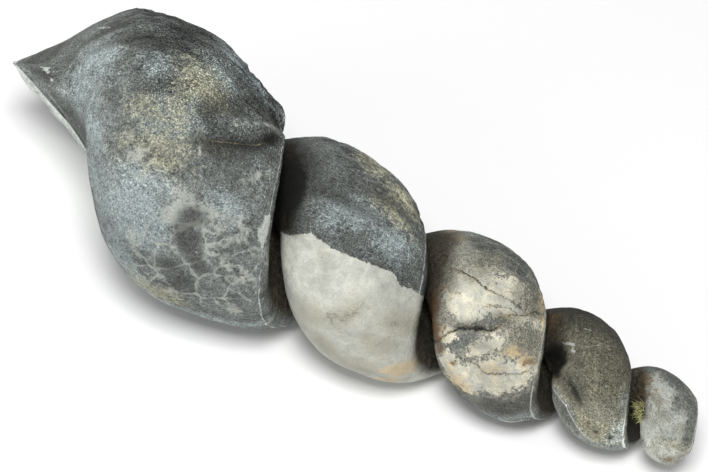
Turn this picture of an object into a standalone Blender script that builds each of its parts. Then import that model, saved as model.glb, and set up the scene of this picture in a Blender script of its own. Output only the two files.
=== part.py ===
"""Internal mold of a high-spired, right-handed gastropod, in one piece of grey limestone.

Mud filled the shell, hardened, and lost the shell round it. What is left is one solid tube of
stone, wound round a straight axis and growing by the same factor on every turn. The shell's wall
is the open gap between one whorl and the next.

A place on the tube has a turn and an outline share. Turn 0 is on the upper front of the last
whorl, and turn -1 is one whorl nearer to the apex. The outline is the tube's section in a half
plane through the axis: its points are (along, out), along from the back edge at 0 to the front
tip at 1, and out from the axis at 0 to the whorl's own radius at 1.
"""

import math

import bmesh
import bpy
import numpy as np

# Size and growth, in metres.
GROWTH = 1.345          # each turn's size against the turn before it
APEX_REACH = 0.169      # from the point of the cone to the back edge at turn 0
WHORL_RADIUS = 0.0335   # from the axis to the outer wall at turn 0

# The stretch of the coil that is left, in turns.
FIRST_TURN = -4.40      # the worn stump at the small end
ROUNDED_TURNS = 0.21    # how much of the small end is rounded off
SPLIT_TURN = 0.02       # past this turn each line of the tube runs on to the broken face
SEARCH_TURN = 0.80      # no line of the tube runs on past this turn

# The tube's outline on the spire and on the body whorl, with the same places in the same order:
# back edge, shoulder, crown, front flank, neck, tip, inner side, back wall.
SPIRE_OUTLINE = (
    (0.00, 0.68), (0.06, 0.81), (0.20, 0.94), (0.40, 1.00), (0.60, 0.97), (0.75, 0.86),
    (0.86, 0.70), (0.90, 0.52), (0.93, 0.36), (0.96, 0.22), (0.92, 0.13), (0.70, 0.10),
    (0.45, 0.10), (0.20, 0.16), (0.06, 0.36), (0.00, 0.56),
)
BODY_OUTLINE = (
    (-0.04, 0.74), (0.01, 0.84), (0.17, 0.93), (0.38, 1.00), (0.60, 0.95), (0.745, 0.81),
    (0.83, 0.61), (0.86, 0.43), (0.90, 0.30), (0.965, 0.21), (0.94, 0.13), (0.70, 0.10),
    (0.45, 0.10), (0.20, 0.16), (0.06, 0.36), (-0.02, 0.58),
)

# How the tube departs from even growth, as (turn, value). Beside each table stands where on
# the outline it acts: the two ends of a ramp, or the middle and the reach of a bell.

# How far the outline is the body whorl's and no longer the spire's.
BODY_SHARE = ((-0.7, 0.0), (-0.1, 0.7), (0.15, 1.0))
# Factor on the whorl's radius.
GIRTH = (
    (-4.40, 0.96), (-4.22, 1.04), (-3.9, 1.04), (-3.2, 1.07), (-1.7, 1.07), (-1.2, 1.04),
    (-0.85, 0.98), (-0.3, 0.955), (0.2, 1.0),
)
# Front flank moved forward, in along.
FRONT_FLANK = (
    (-4.3, -0.04), (-4.0, -0.06), (-3.1, 0.0), (-2.0, 0.05), (-1.0, 0.02), (-0.5, 0.0),
)
FRONT_ALONG, FRONT_OUT = (0.5, 0.83), (0.15, 0.35)
# Back edge moved forward, in along.
BACK_EDGE = (
    (-4.40, 0.36), (-4.24, 0.16), (-4.02, -0.02), (-3.80, -0.02), (-3.4, 0.0), (-2.35, 0.0),
    (-2.15, 0.03), (-1.9, 0.0), (-1.4, 0.0), (-1.17, 0.045), (-0.95, 0.0),
)
BACK_ALONG, BACK_OUT = (0.0, 0.14), (0.20, 0.60)
# Shoulder over the back edge moved out, in out.
BACK_SHOULDER = (
    (-4.40, -0.12), (-4.22, -0.08), (-4.05, 0.0), (-3.3, 0.0), (-2.75, -0.10), (-2.3, 0.0),
    (-1.8, -0.04), (-1.2, 0.0), (-0.8, -0.05), (-0.5, 0.0), (0.1, 0.0), (0.2, -0.05),
)
SHOULDER_ALONG, SHOULDER_OUT = (0.0, 0.20), (0.45, 0.70)
# Crown moved forward, in along.
CROWN_SHIFT = (
    (-4.40, 0.10), (-4.20, 0.10), (-4.02, 0.0), (-1.6, 0.0), (-0.85, 0.08), (-0.45, 0.0),
    (-0.25, 0.06), (-0.02, 0.0),
)
CROWN_ALONG, CROWN_OUT = (0.45, 0.30), (0.45, 0.60)
# Neck behind the mouth moved out, in out.
WAIST = ((0.05, 0.0), (0.24, -0.07), (0.34, -0.16), (0.45, -0.14), (0.6, -0.10))
WAIST_ALONG, WAIST_OUT = (0.65, 0.80), (0.20, 0.40)

# Dent behind the crown of the body whorl: a fold that leans across the whorl, with a hollow on
# the side of the higher turns and an undercut on the other.
FOLD_TURN, FOLD_SLOPE = 0.112, -0.20
FOLD_ALONG, FOLD_ALONG_REACH = 0.09, 0.23
HOLLOW_TURN, HOLLOW_TURN_REACH, HOLLOW_DEPTH = 0.048, 0.021, 0.0021
UNDERCUT_TURN, UNDERCUT_TURN_REACH, UNDERCUT_DEPTH = -0.010, 0.012, 0.0013

# Chip out of the fourth whorl's front flank: a wedge that opens from its tip towards the front.
CHIP_TURN, CHIP_ALONG = -2.938, 0.65
CHIP_UPPER_SLOPE, CHIP_LOWER_SLOPE = 0.10, -0.49
CHIP_WALL_TURNS = 0.030
CHIP_RUN_OUT = 0.12
CHIP_DEPTH = 0.0062

# The dent and the chip reach only as far in as this ramp in out lets them.
OUTER_FACE = (0.3, 0.6)

# The broken face at the mouth: a point on it and the way it faces, both in the coil's frame.
# The coil's frame has X towards turn 0, Y towards turn 0.25 and Z along the axis to the mouth.
BREAK_POINT = (0.0, 0.0020, 0.2320)
BREAK_FACING = (0.087, -0.930, 0.354)

# The pose in which the fossil lies still on three whorls.
DOWN_TURN = 0.6032      # the side of the coil that faces the ground
APEX_DIP = math.radians(6.95)
WORN_DEPTH = 0.0012     # how far the resting spots are worn flat

# Faceting.
STATIONS_ON_COIL = 118
STATIONS_TO_BREAK = 30
OUTLINE_SIDES = 32
SEARCH_STEPS = 800      # trial turns along each line, to find where it meets the break
STUMP_SCALE = 0.05      # size of the very first ring against the tube there
SHARP_EDGE = math.radians(50)

STONE_COLOUR = (0.150, 0.152, 0.140, 1.0)
STONE_ROUGHNESS = 0.78


def clear_scene():
    """Remove every object that the file starts with."""
    for item in list(bpy.data.objects):
        bpy.data.objects.remove(item, do_unlink=True)


def eased(turn, table):
    """Value of a (turn, value) table, with a smooth step from each row to the next."""
    turns, values = np.array(table).T
    place = np.clip(turn, turns[0], turns[-1])
    row = np.clip(np.searchsorted(turns, place, side="right") - 1, 0, len(turns) - 2)
    share = (place - turns[row]) / (turns[row + 1] - turns[row])
    return values[row] + (values[row + 1] - values[row]) * share ** 2 * (3 - 2 * share)


def ramp(value, low, high):
    """0 below low, 1 above high and a straight rise between."""
    return np.clip((value - low) / (high - low), 0.0, 1.0)


def bell(value, middle, reach):
    """1 at the middle, falling smoothly to nearly 0 at twice the reach."""
    return np.exp(-((value - middle) / reach) ** 2)


def closed_curve(points, share):
    """Points on a closed Catmull-Rom curve, at shares of its way round."""
    points = np.array(points)
    count = len(points)
    span = np.asarray(share) * count
    start = np.floor(span).astype(int)
    step = (span - start)[..., None]
    before, here, after, beyond = (points[(start + shift) % count] for shift in (-1, 0, 1, 2))
    bend = (2 * before - 5 * here + 4 * after - beyond) * step ** 2
    twist = (3 * here - before - 3 * after + beyond) * step ** 3
    return here + 0.5 * ((after - before) * step + bend + twist)


def outline_at(turn, share):
    """(along, out) of the tube's section at each turn and outline share."""
    body = eased(turn, BODY_SHARE)
    spire_part = closed_curve(SPIRE_OUTLINE, share) * (1 - body)[..., None]
    along, out = np.moveaxis(spire_part + closed_curve(BODY_OUTLINE, share) * body[..., None], -1, 0)
    front = eased(turn, FRONT_FLANK) * ramp(along, *FRONT_ALONG) * ramp(out, *FRONT_OUT)
    back = eased(turn, BACK_EDGE) * bell(along, *BACK_ALONG) * ramp(out, *BACK_OUT)
    crown = eased(turn, CROWN_SHIFT) * bell(along, *CROWN_ALONG) * ramp(out, *CROWN_OUT)
    shoulder = eased(turn, BACK_SHOULDER) * bell(along, *SHOULDER_ALONG) * ramp(out, *SHOULDER_OUT)
    waist = eased(turn, WAIST) * ramp(along, *WAIST_ALONG) * ramp(out, *WAIST_OUT)
    return along + front + back + crown, out + shoulder + waist


def hollow_depth(turn, along):
    """How far the outer face stands back, in metres, at the dent and at the chip."""
    past_fold = turn - FOLD_TURN - FOLD_SLOPE * along
    hollow = HOLLOW_DEPTH * bell(past_fold, HOLLOW_TURN, HOLLOW_TURN_REACH)
    undercut = UNDERCUT_DEPTH * bell(past_fold, UNDERCUT_TURN, UNDERCUT_TURN_REACH)
    dent = (hollow + undercut) * bell(along, FOLD_ALONG, FOLD_ALONG_REACH)
    ahead = along - CHIP_ALONG
    below_upper_rim = CHIP_TURN + CHIP_UPPER_SLOPE * ahead - turn
    above_lower_rim = turn - CHIP_TURN - CHIP_LOWER_SLOPE * ahead
    inside = np.minimum(below_upper_rim, above_lower_rim)
    chip = ramp(inside, 0.0, CHIP_WALL_TURNS) * ramp(ahead, 0.0, CHIP_RUN_OUT)
    return dent + CHIP_DEPTH * chip


def coil_point(turn, share):
    """Places of the tube's surface in the coil's frame."""
    along, out = outline_at(turn, share)
    size = GROWTH ** turn
    radius = WHORL_RADIUS * size * out * eased(turn, GIRTH)
    radius = radius - hollow_depth(turn, along) * ramp(out, *OUTER_FACE)
    angle = 2 * math.pi * turn
    height = APEX_REACH * size * (1 + (GROWTH - 1) * along)
    return np.stack([radius * np.cos(angle), radius * np.sin(angle), height], axis=-1)


def break_turns(share):
    """The turn at which each line of the tube meets the broken face."""
    turns = np.linspace(SPLIT_TURN, SEARCH_TURN, SEARCH_STEPS)
    grid_turn, grid_share = np.meshgrid(turns, share, indexing="ij")
    facing = np.array(BREAK_FACING) / np.linalg.norm(BREAK_FACING)
    beyond = (coil_point(grid_turn, grid_share) - BREAK_POINT) @ facing
    last = np.argmax(beyond > 0, axis=0)
    line = np.arange(len(share))
    short, past = beyond[last - 1, line], beyond[last, line]
    return turns[last] - (turns[1] - turns[0]) * past / (past - short)


def station_grid():
    """Turn and outline share of every vertex, from the small end to the broken face."""
    share = np.arange(OUTLINE_SIDES) / OUTLINE_SIDES
    root_size = np.linspace(GROWTH ** (FIRST_TURN / 2), GROWTH ** (SPLIT_TURN / 2), STATIONS_ON_COIL)
    coil = np.repeat(2 * np.log(root_size)[:, None] / math.log(GROWTH), OUTLINE_SIDES, axis=1)
    way = np.linspace(0, 1, STATIONS_TO_BREAK + 1)[1:, None]
    to_break = SPLIT_TURN + (break_turns(share) - SPLIT_TURN) * way
    turn = np.concatenate([coil, to_break])
    return turn, np.broadcast_to(share, turn.shape)


def rounded_end(points, turn):
    """Shrink the first rings towards their middle along a quarter circle."""
    way = ramp(turn[:, :1], FIRST_TURN, FIRST_TURN + ROUNDED_TURNS)
    scale = np.maximum(np.sqrt(1 - (1 - way) ** 2), STUMP_SCALE)[..., None]
    middle = points.mean(axis=1, keepdims=True)
    return middle + (points - middle) * scale


def lay_down(points):
    """Turn the coil onto its resting side, apex towards +X and dipped, and wear the low spots."""
    down = 2 * math.pi * DOWN_TURN
    across, up, axial = points[..., 0], points[..., 1], points[..., 2]
    side = across * math.sin(down) - up * math.cos(down)
    height = -across * math.cos(down) - up * math.sin(down)
    x = -axial * math.cos(APEX_DIP) + height * math.sin(APEX_DIP)
    z = axial * math.sin(APEX_DIP) + height * math.cos(APEX_DIP)
    placed = np.stack([x, side, z], axis=-1)
    low = placed.reshape(-1, 3).min(axis=0)
    high = placed.reshape(-1, 3).max(axis=0)
    middle = (low + high) / 2
    placed = placed - (middle[0], middle[1], low[2] + WORN_DEPTH)
    placed[..., 2] = np.maximum(placed[..., 2], 0.0)
    return placed


def lofted_mesh(name, rings):
    """One closed mesh: quads between each ring and the next, and a flat face on both ends."""
    shape = bmesh.new()
    loops = [[shape.verts.new(point) for point in ring] for ring in rings.tolist()]
    for ring, next_ring in zip(loops, loops[1:]):
        for side, corner in enumerate(ring):
            after = (side + 1) % len(ring)
            shape.faces.new((corner, ring[after], next_ring[after], next_ring[side]))
    shape.faces.new(loops[0][::-1])
    shape.faces.new(loops[-1])
    bmesh.ops.recalc_face_normals(shape, faces=shape.faces[:])
    mesh = bpy.data.meshes.new(name)
    shape.to_mesh(mesh)
    shape.free()
    return mesh


def stone_material():
    """Dull grey limestone."""
    material = bpy.data.materials.new("grey_limestone")
    material.use_nodes = True
    shader = material.node_tree.nodes["Principled BSDF"]
    shader.inputs["Base Color"].default_value = STONE_COLOUR
    shader.inputs["Roughness"].default_value = STONE_ROUGHNESS
    shader.inputs["Metallic"].default_value = 0.0
    return material


def main():
    """Build the mold as one object in its own collection."""
    clear_scene()
    turn, share = station_grid()
    rings = lay_down(rounded_end(coil_point(turn, share), turn))
    mesh = lofted_mesh("internal_mold", rings)
    mesh.materials.append(stone_material())
    mesh.shade_smooth()
    mesh.set_sharp_from_angle(angle=SHARP_EDGE)
    collection = bpy.data.collections.new("fossil_gastropod_mold")
    bpy.context.scene.collection.children.link(collection)
    collection.objects.link(bpy.data.objects.new("internal_mold", mesh))


main()
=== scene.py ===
# %% [markdown]
# # The stone cast of a tall sea snail
# Mud filled a snail's shell, hardened to grey limestone, and later the shell round it dissolved.
# What is left is one solid tube of stone, wound round a straight axis, with an open gap where
# the shell's wall used to be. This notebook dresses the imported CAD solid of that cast: it makes
# the same tube again with a fine skin, stains it as the stone is stained, and lights it softly.

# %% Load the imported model
import itertools
import math

import bpy
import numpy as np
from mathutils import Matrix, Vector


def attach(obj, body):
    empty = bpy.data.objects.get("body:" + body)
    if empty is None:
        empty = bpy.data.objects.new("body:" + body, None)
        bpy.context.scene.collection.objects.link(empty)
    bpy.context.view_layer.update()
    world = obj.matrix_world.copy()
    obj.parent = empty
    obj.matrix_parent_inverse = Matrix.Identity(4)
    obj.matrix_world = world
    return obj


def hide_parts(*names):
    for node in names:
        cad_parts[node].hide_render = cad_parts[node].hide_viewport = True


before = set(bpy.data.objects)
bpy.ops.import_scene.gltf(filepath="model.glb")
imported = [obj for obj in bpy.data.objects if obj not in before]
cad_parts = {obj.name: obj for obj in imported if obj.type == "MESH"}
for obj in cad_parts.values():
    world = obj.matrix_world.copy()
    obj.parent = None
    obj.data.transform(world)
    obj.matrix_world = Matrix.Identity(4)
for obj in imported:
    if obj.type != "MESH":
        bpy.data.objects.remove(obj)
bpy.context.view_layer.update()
CAD_NODE = "internal_mold"
BODY = "root"

# %% [markdown]
# ## The coil as a formula
# A snail grows its shell by the same factor on every turn, so one outline, carried round the
# axis and scaled as it goes, gives the whole tube. A place on the tube has a *turn* (0 on the
# upper front of the last whorl, -1 one whorl nearer to the apex) and a *share* of the way round
# the outline. The outline itself gives *along* (0 at the back edge, 1 at the front tip) and
# *out* (0 on the axis, 1 at the whorl's own radius). The named values are those of the CAD part.

# %% Growth, stretch and outline of the tube
GROWTH = 1.345
APEX_REACH = 0.169
WHORL_RADIUS = 0.0335
FIRST_TURN = -4.40
ROUNDED_TURNS = 0.21
SPLIT_TURN = 0.02
SEARCH_TURN = 0.80

SPIRE_OUTLINE = (
    (0.00, 0.68), (0.06, 0.81), (0.20, 0.94), (0.40, 1.00), (0.60, 0.97), (0.75, 0.86),
    (0.86, 0.70), (0.90, 0.52), (0.93, 0.36), (0.96, 0.22), (0.92, 0.13), (0.70, 0.10),
    (0.45, 0.10), (0.20, 0.16), (0.06, 0.36), (0.00, 0.56),
)
BODY_OUTLINE = (
    (-0.04, 0.74), (0.01, 0.84), (0.17, 0.93), (0.38, 1.00), (0.60, 0.95), (0.745, 0.81),
    (0.83, 0.61), (0.86, 0.43), (0.90, 0.30), (0.965, 0.21), (0.94, 0.13), (0.70, 0.10),
    (0.45, 0.10), (0.20, 0.16), (0.06, 0.36), (-0.02, 0.58),
)


def closed_curve(points, share):
    """Points on a closed Catmull-Rom curve: a cubic from each point to the next, whose slope at
    a point is half the step from the point before it to the point after it."""
    points = np.array(points)
    count = len(points)
    span = np.asarray(share) * count
    start = np.floor(span).astype(int)
    step = (span - start)[..., None]
    before, here, after, beyond = (points[(start + shift) % count] for shift in (-1, 0, 1, 2))
    bend = (2 * before - 5 * here + 4 * after - beyond) * step ** 2
    twist = (3 * here - before - 3 * after + beyond) * step ** 3
    return here + 0.5 * ((after - before) * step + bend + twist)


print("outline points:", len(SPIRE_OUTLINE), "whorls from the stump:", -FIRST_TURN)

# %% [markdown]
# ## Where the tube departs from even growth
# No whorl is quite like its neighbour: one is stouter, the next has a higher shoulder. Each
# departure is a short table of (turn, value) rows with a smooth step between them. The pairs
# after a table say where it acts on the outline: the ends of a ramp, or a bell's middle and reach.

# %% Tables of departures
BODY_SHARE = ((-0.7, 0.0), (-0.1, 0.7), (0.15, 1.0))     # from the spire's outline to the body's
GIRTH = (
    (-4.40, 0.96), (-4.22, 1.04), (-3.9, 1.04), (-3.2, 1.07), (-1.7, 1.07), (-1.2, 1.04),
    (-0.85, 0.98), (-0.3, 0.955), (0.2, 1.0),
)
FRONT_FLANK = (
    (-4.3, -0.04), (-4.0, -0.06), (-3.1, 0.0), (-2.0, 0.05), (-1.0, 0.02), (-0.5, 0.0),
)
FRONT_ALONG, FRONT_OUT = (0.5, 0.83), (0.15, 0.35)
BACK_EDGE = (
    (-4.40, 0.36), (-4.24, 0.16), (-4.02, -0.02), (-3.80, -0.02), (-3.4, 0.0), (-2.35, 0.0),
    (-2.15, 0.03), (-1.9, 0.0), (-1.4, 0.0), (-1.17, 0.045), (-0.95, 0.0),
)
BACK_ALONG, BACK_OUT = (0.0, 0.14), (0.20, 0.60)
BACK_SHOULDER = (
    (-4.40, -0.12), (-4.22, -0.08), (-4.05, 0.0), (-3.3, 0.0), (-2.75, -0.10), (-2.3, 0.0),
    (-1.8, -0.04), (-1.2, 0.0), (-0.8, -0.05), (-0.5, 0.0), (0.1, 0.0), (0.2, -0.05),
)
SHOULDER_ALONG, SHOULDER_OUT = (0.0, 0.20), (0.45, 0.70)
CROWN_SHIFT = (
    (-4.40, 0.10), (-4.20, 0.10), (-4.02, 0.0), (-1.6, 0.0), (-0.85, 0.08), (-0.45, 0.0),
    (-0.25, 0.06), (-0.02, 0.0),
)
CROWN_ALONG, CROWN_OUT = (0.45, 0.30), (0.45, 0.60)
WAIST = ((0.05, 0.0), (0.24, -0.07), (0.34, -0.16), (0.45, -0.14), (0.6, -0.10))
WAIST_ALONG, WAIST_OUT = (0.65, 0.80), (0.20, 0.40)
print("rows of girth:", len(GIRTH), "rows of the back shoulder:", len(BACK_SHOULDER))

# %% The outline at every turn


def eased(turn, table):
    """Value of a (turn, value) table, with a smooth step from each row to the next."""
    turns, values = np.array(table).T
    place = np.clip(turn, turns[0], turns[-1])
    row = np.clip(np.searchsorted(turns, place, side="right") - 1, 0, len(turns) - 2)
    share = (place - turns[row]) / (turns[row + 1] - turns[row])
    return values[row] + (values[row + 1] - values[row]) * share ** 2 * (3 - 2 * share)


def ramp(value, low, high):
    """0 below low, 1 above high and a straight rise between."""
    return np.clip((value - low) / (high - low), 0.0, 1.0)


def bell(value, middle, reach):
    """1 at the middle, falling smoothly to nearly 0 at twice the reach."""
    return np.exp(-((value - middle) / reach) ** 2)


def outline_at(turn, share):
    """(along, out) of the tube's section: the spire's and the last whorl's outline mixed by
    turn, with each departure added where its ramps and bells let it through."""
    body = eased(turn, BODY_SHARE)
    spire_part = closed_curve(SPIRE_OUTLINE, share) * (1 - body)[..., None]
    along, out = np.moveaxis(spire_part + closed_curve(BODY_OUTLINE, share) * body[..., None], -1, 0)
    front = eased(turn, FRONT_FLANK) * ramp(along, *FRONT_ALONG) * ramp(out, *FRONT_OUT)
    back = eased(turn, BACK_EDGE) * bell(along, *BACK_ALONG) * ramp(out, *BACK_OUT)
    crown = eased(turn, CROWN_SHIFT) * bell(along, *CROWN_ALONG) * ramp(out, *CROWN_OUT)
    shoulder = eased(turn, BACK_SHOULDER) * bell(along, *SHOULDER_ALONG) * ramp(out, *SHOULDER_OUT)
    waist = eased(turn, WAIST) * ramp(along, *WAIST_ALONG) * ramp(out, *WAIST_OUT)
    return along + front + back + crown, out + shoulder + waist


print("front tip of the last whorl:", np.round(outline_at(np.zeros(1), np.full(1, 0.6)), 2).ravel())

# %% [markdown]
# ## Dent and chip
# The last whorl has a thumb-sized dent under a leaning fold, and the fourth has a wedge-shaped
# chip. Cutting them out with a boolean would leave hard rims and a ragged mesh, so both are a
# depth that is taken off the radius. The whole tube is then one formula of turn and share.

# %% Dent, chip and the tube's formula
FOLD_TURN, FOLD_SLOPE = 0.112, -0.20
FOLD_ALONG, FOLD_ALONG_REACH = 0.09, 0.23
HOLLOW_TURN, HOLLOW_TURN_REACH, HOLLOW_DEPTH = 0.048, 0.021, 0.0021
UNDERCUT_TURN, UNDERCUT_TURN_REACH, UNDERCUT_DEPTH = -0.010, 0.012, 0.0013
CHIP_TURN, CHIP_ALONG = -2.938, 0.65
CHIP_UPPER_SLOPE, CHIP_LOWER_SLOPE = 0.10, -0.49
CHIP_WALL_TURNS = 0.030
CHIP_RUN_OUT = 0.12
CHIP_DEPTH = 0.0062
OUTER_FACE = (0.3, 0.6)


def hollow_depth(turn, along):
    """How far the outer face stands back, in metres: a hollow and an undercut on either side of
    a leaning fold, and a chip whose two rims open from a tip like a wedge."""
    past_fold = turn - FOLD_TURN - FOLD_SLOPE * along
    hollow = HOLLOW_DEPTH * bell(past_fold, HOLLOW_TURN, HOLLOW_TURN_REACH)
    undercut = UNDERCUT_DEPTH * bell(past_fold, UNDERCUT_TURN, UNDERCUT_TURN_REACH)
    dent = (hollow + undercut) * bell(along, FOLD_ALONG, FOLD_ALONG_REACH)
    ahead = along - CHIP_ALONG
    below_upper_rim = CHIP_TURN + CHIP_UPPER_SLOPE * ahead - turn
    above_lower_rim = turn - CHIP_TURN - CHIP_LOWER_SLOPE * ahead
    inside = np.minimum(below_upper_rim, above_lower_rim)
    chip = ramp(inside, 0.0, CHIP_WALL_TURNS) * ramp(ahead, 0.0, CHIP_RUN_OUT)
    return dent + CHIP_DEPTH * chip


def coil_point(turn, share):
    """Places on the tube: radius = whorl radius x growth^turn x out, height along the axis =
    apex reach x growth^turn x (1 + (growth - 1) x along), angle = one circle per turn."""
    along, out = outline_at(turn, share)
    size = GROWTH ** turn
    radius = WHORL_RADIUS * size * out * eased(turn, GIRTH)
    radius = radius - hollow_depth(turn, along) * ramp(out, *OUTER_FACE)
    angle = 2 * math.pi * turn
    height = APEX_REACH * size * (1 + (GROWTH - 1) * along)
    return np.stack([radius * np.cos(angle), radius * np.sin(angle), height], axis=-1)


print("widest whorl in millimetres:", round(2000 * WHORL_RADIUS * GROWTH ** 0.2, 1))

# %% [markdown]
# ## The broken mouth and the way the fossil lies
# The last whorl ends at a break that is flat from afar. Each line of the tube runs on until it
# meets that flat, so the rim comes out as one clean loop. Then the coil is laid down on two of
# its whorls and the rim of the break, with the apex a little lower than the mouth, and the spots
# it rests on are worn flat.

# %% Broken rim and resting pose
BREAK_POINT = (0.0, 0.0020, 0.2320)
BREAK_FACING = (0.087, -0.930, 0.354)
DOWN_TURN = 0.6032
APEX_DIP = math.radians(6.95)
WORN_DEPTH = 0.0012
SEARCH_STEPS = 800
SMALLEST_RING = 0.05        # share of its own size, so that the first ring isn't a point


def break_turns(share):
    """The turn at which each line of the tube meets the broken face."""
    turns = np.linspace(SPLIT_TURN, SEARCH_TURN, SEARCH_STEPS)
    grid_turn, grid_share = np.meshgrid(turns, share, indexing="ij")
    facing = np.array(BREAK_FACING) / np.linalg.norm(BREAK_FACING)
    beyond = (coil_point(grid_turn, grid_share) - BREAK_POINT) @ facing
    last = np.argmax(beyond > 0, axis=0)
    line = np.arange(len(share))
    short, past = beyond[last - 1, line], beyond[last, line]
    return turns[last] - (turns[1] - turns[0]) * past / (past - short)


def rounded_end(points, turn):
    """Shrink the first rings towards their middle along a quarter circle."""
    way = ramp(turn[:, :1], FIRST_TURN, FIRST_TURN + ROUNDED_TURNS)
    scale = np.maximum(np.sqrt(1 - (1 - way) ** 2), SMALLEST_RING)[..., None]
    middle = points.mean(axis=1, keepdims=True)
    return middle + (points - middle) * scale


def turned_down(points):
    """The coil's own frame turned into the resting frame: the down turn faces the ground, the
    apex points to +X and dips."""
    down = 2 * math.pi * DOWN_TURN
    across, up, axial = points[..., 0], points[..., 1], points[..., 2]
    side = across * math.sin(down) - up * math.cos(down)
    height = -across * math.cos(down) - up * math.sin(down)
    x = -axial * math.cos(APEX_DIP) + height * math.sin(APEX_DIP)
    z = axial * math.sin(APEX_DIP) + height * math.cos(APEX_DIP)
    return np.stack([x, side, z], axis=-1)


def place_on_ground(points):
    """Centre the coil over the origin and sink its lowest spots by the worn depth."""
    low = points.reshape(-1, 3).min(axis=0)
    high = points.reshape(-1, 3).max(axis=0)
    middle = (low + high) / 2
    return points - (middle[0], middle[1], low[2] + WORN_DEPTH)


print("apex dips by", round(math.degrees(APEX_DIP), 2), "degrees")

# %% [markdown]
# ## A fine grid, closer where detail is seen
# The skin is one grid of quads: rings from the small end to the break, and the same number of
# points on every ring. The rings stand closer on the small whorls and on the upper side, and
# the points stand closer on the outside than in the throat, so no faces are wasted. Both
# spacings come from one helper that shares points out by a density.

# %% Rings and sides of the skin
SIDES = 120
RINGS_ON_COIL = 690
RINGS_TO_BREAK = 84
RINGS_ON_BREAK = 22
THROAT_DENSITY = 0.3        # points per length on the hidden inner side against the outside
THROAT_START, THROAT_END = 0.60, 0.88
UNDERSIDE_SPARSER = 0.38    # how much wider the rings stand underneath than on average
FINE_STEPS = 6000


def shared_out(count, low, high, density):
    """Count values from low to high, closer together where the density is high."""
    fine = np.linspace(low, high, FINE_STEPS)
    rise = np.concatenate([[0], np.cumsum((density(fine[1:]) + density(fine[:-1])) / 2)])
    return np.interp(np.linspace(0, rise[-1], count), rise, fine)


def outline_density(share):
    """Length of outline per share, thinned out in the throat."""
    step = 1e-4
    ahead = closed_curve(SPIRE_OUTLINE, (share + step) % 1)
    run = (ahead - closed_curve(SPIRE_OUTLINE, share % 1)) * (APEX_REACH * (GROWTH - 1), WHORL_RADIUS)
    throat = (share > THROAT_START) & (share < THROAT_END)
    return np.linalg.norm(run, axis=-1) * np.where(throat, THROAT_DENSITY, 1.0)


def ring_density(turn):
    """More rings where the whorls are small, and on the side that looks up."""
    return GROWTH ** (turn / 2) / (1 - UNDERSIDE_SPARSER * np.cos(2 * math.pi * turn))


side_shares = shared_out(SIDES + 1, 0, 1, outline_density)[:-1]
coil_turns = shared_out(RINGS_ON_COIL, FIRST_TURN, SPLIT_TURN, ring_density)
way_to_break = np.linspace(0, 1, RINGS_TO_BREAK + 1)[1:, None]
turn = np.concatenate([
    np.repeat(coil_turns[:, None], SIDES, axis=1),
    SPLIT_TURN + (break_turns(side_shares) - SPLIT_TURN) * way_to_break,
])
share = np.broadcast_to(side_shares, turn.shape)
along, out = outline_at(turn, share)
tube = place_on_ground(turned_down(rounded_end(coil_point(turn, share), turn)))
print("rings x sides:", tube.shape[:2], "triangles:", 2 * (tube.shape[0] + RINGS_ON_BREAK) * SIDES)

# %% [markdown]
# ## Stone noise
# Weathered limestone has lumps of every size. Blender's texture nodes can't move a mesh before
# it exists, so the same kind of noise is worked out here: every corner of a lattice of cubes
# gets a random slope, and a point blends the slopes of the eight corners round it.

# %% Noise in whole arrays
SLOPES = np.random.default_rng(7).normal(size=(4096, 3))
SLOPES /= np.linalg.norm(SLOPES, axis=1, keepdims=True)


def stone_noise(points, lump, seed=0):
    """Smooth noise of about -1 to 1 with lumps of one size: sum over the cube's corners of
    (corner's slope . way to the corner) x blending weight 6t^5 - 15t^4 + 10t^3."""
    place = points / lump + 13.7 * seed
    cube = np.floor(place).astype(np.int64)
    inside = place - cube
    ease = inside ** 3 * (inside * (inside * 6 - 15) + 10)
    total = np.zeros(points.shape[:-1])
    for corner in itertools.product((0, 1), repeat=3):
        x, y, z = np.moveaxis(cube + corner, -1, 0)
        slope = SLOPES[(x * 73856093 ^ y * 19349663 ^ z * 83492791) % len(SLOPES)]
        weight = np.prod(np.where(corner, ease, 1 - ease), axis=-1)
        total += weight * np.sum(slope * (inside - corner), axis=-1)
    return 1.6 * total


print("noise at three places:", stone_noise(tube[100:103, 0], 0.01).round(2))

# %% [markdown]
# ## Lines drawn on the stone
# Cracks, creases and edges run roughly across the tube, so each is written as a turn for every
# *along*. How far a point lies from such a line, in millimetres over the surface, serves twice:
# to cut a groove into the skin, and later to draw the line finely in the material.

# %% Millimetres on the surface, and the lines
MM_PER_TURN = 1000 * 2 * math.pi * WHORL_RADIUS
MM_PER_ALONG = 1000 * APEX_REACH * (GROWTH - 1)
FAR = 8.0       # millimetres past which no mark needs an exact distance

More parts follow.
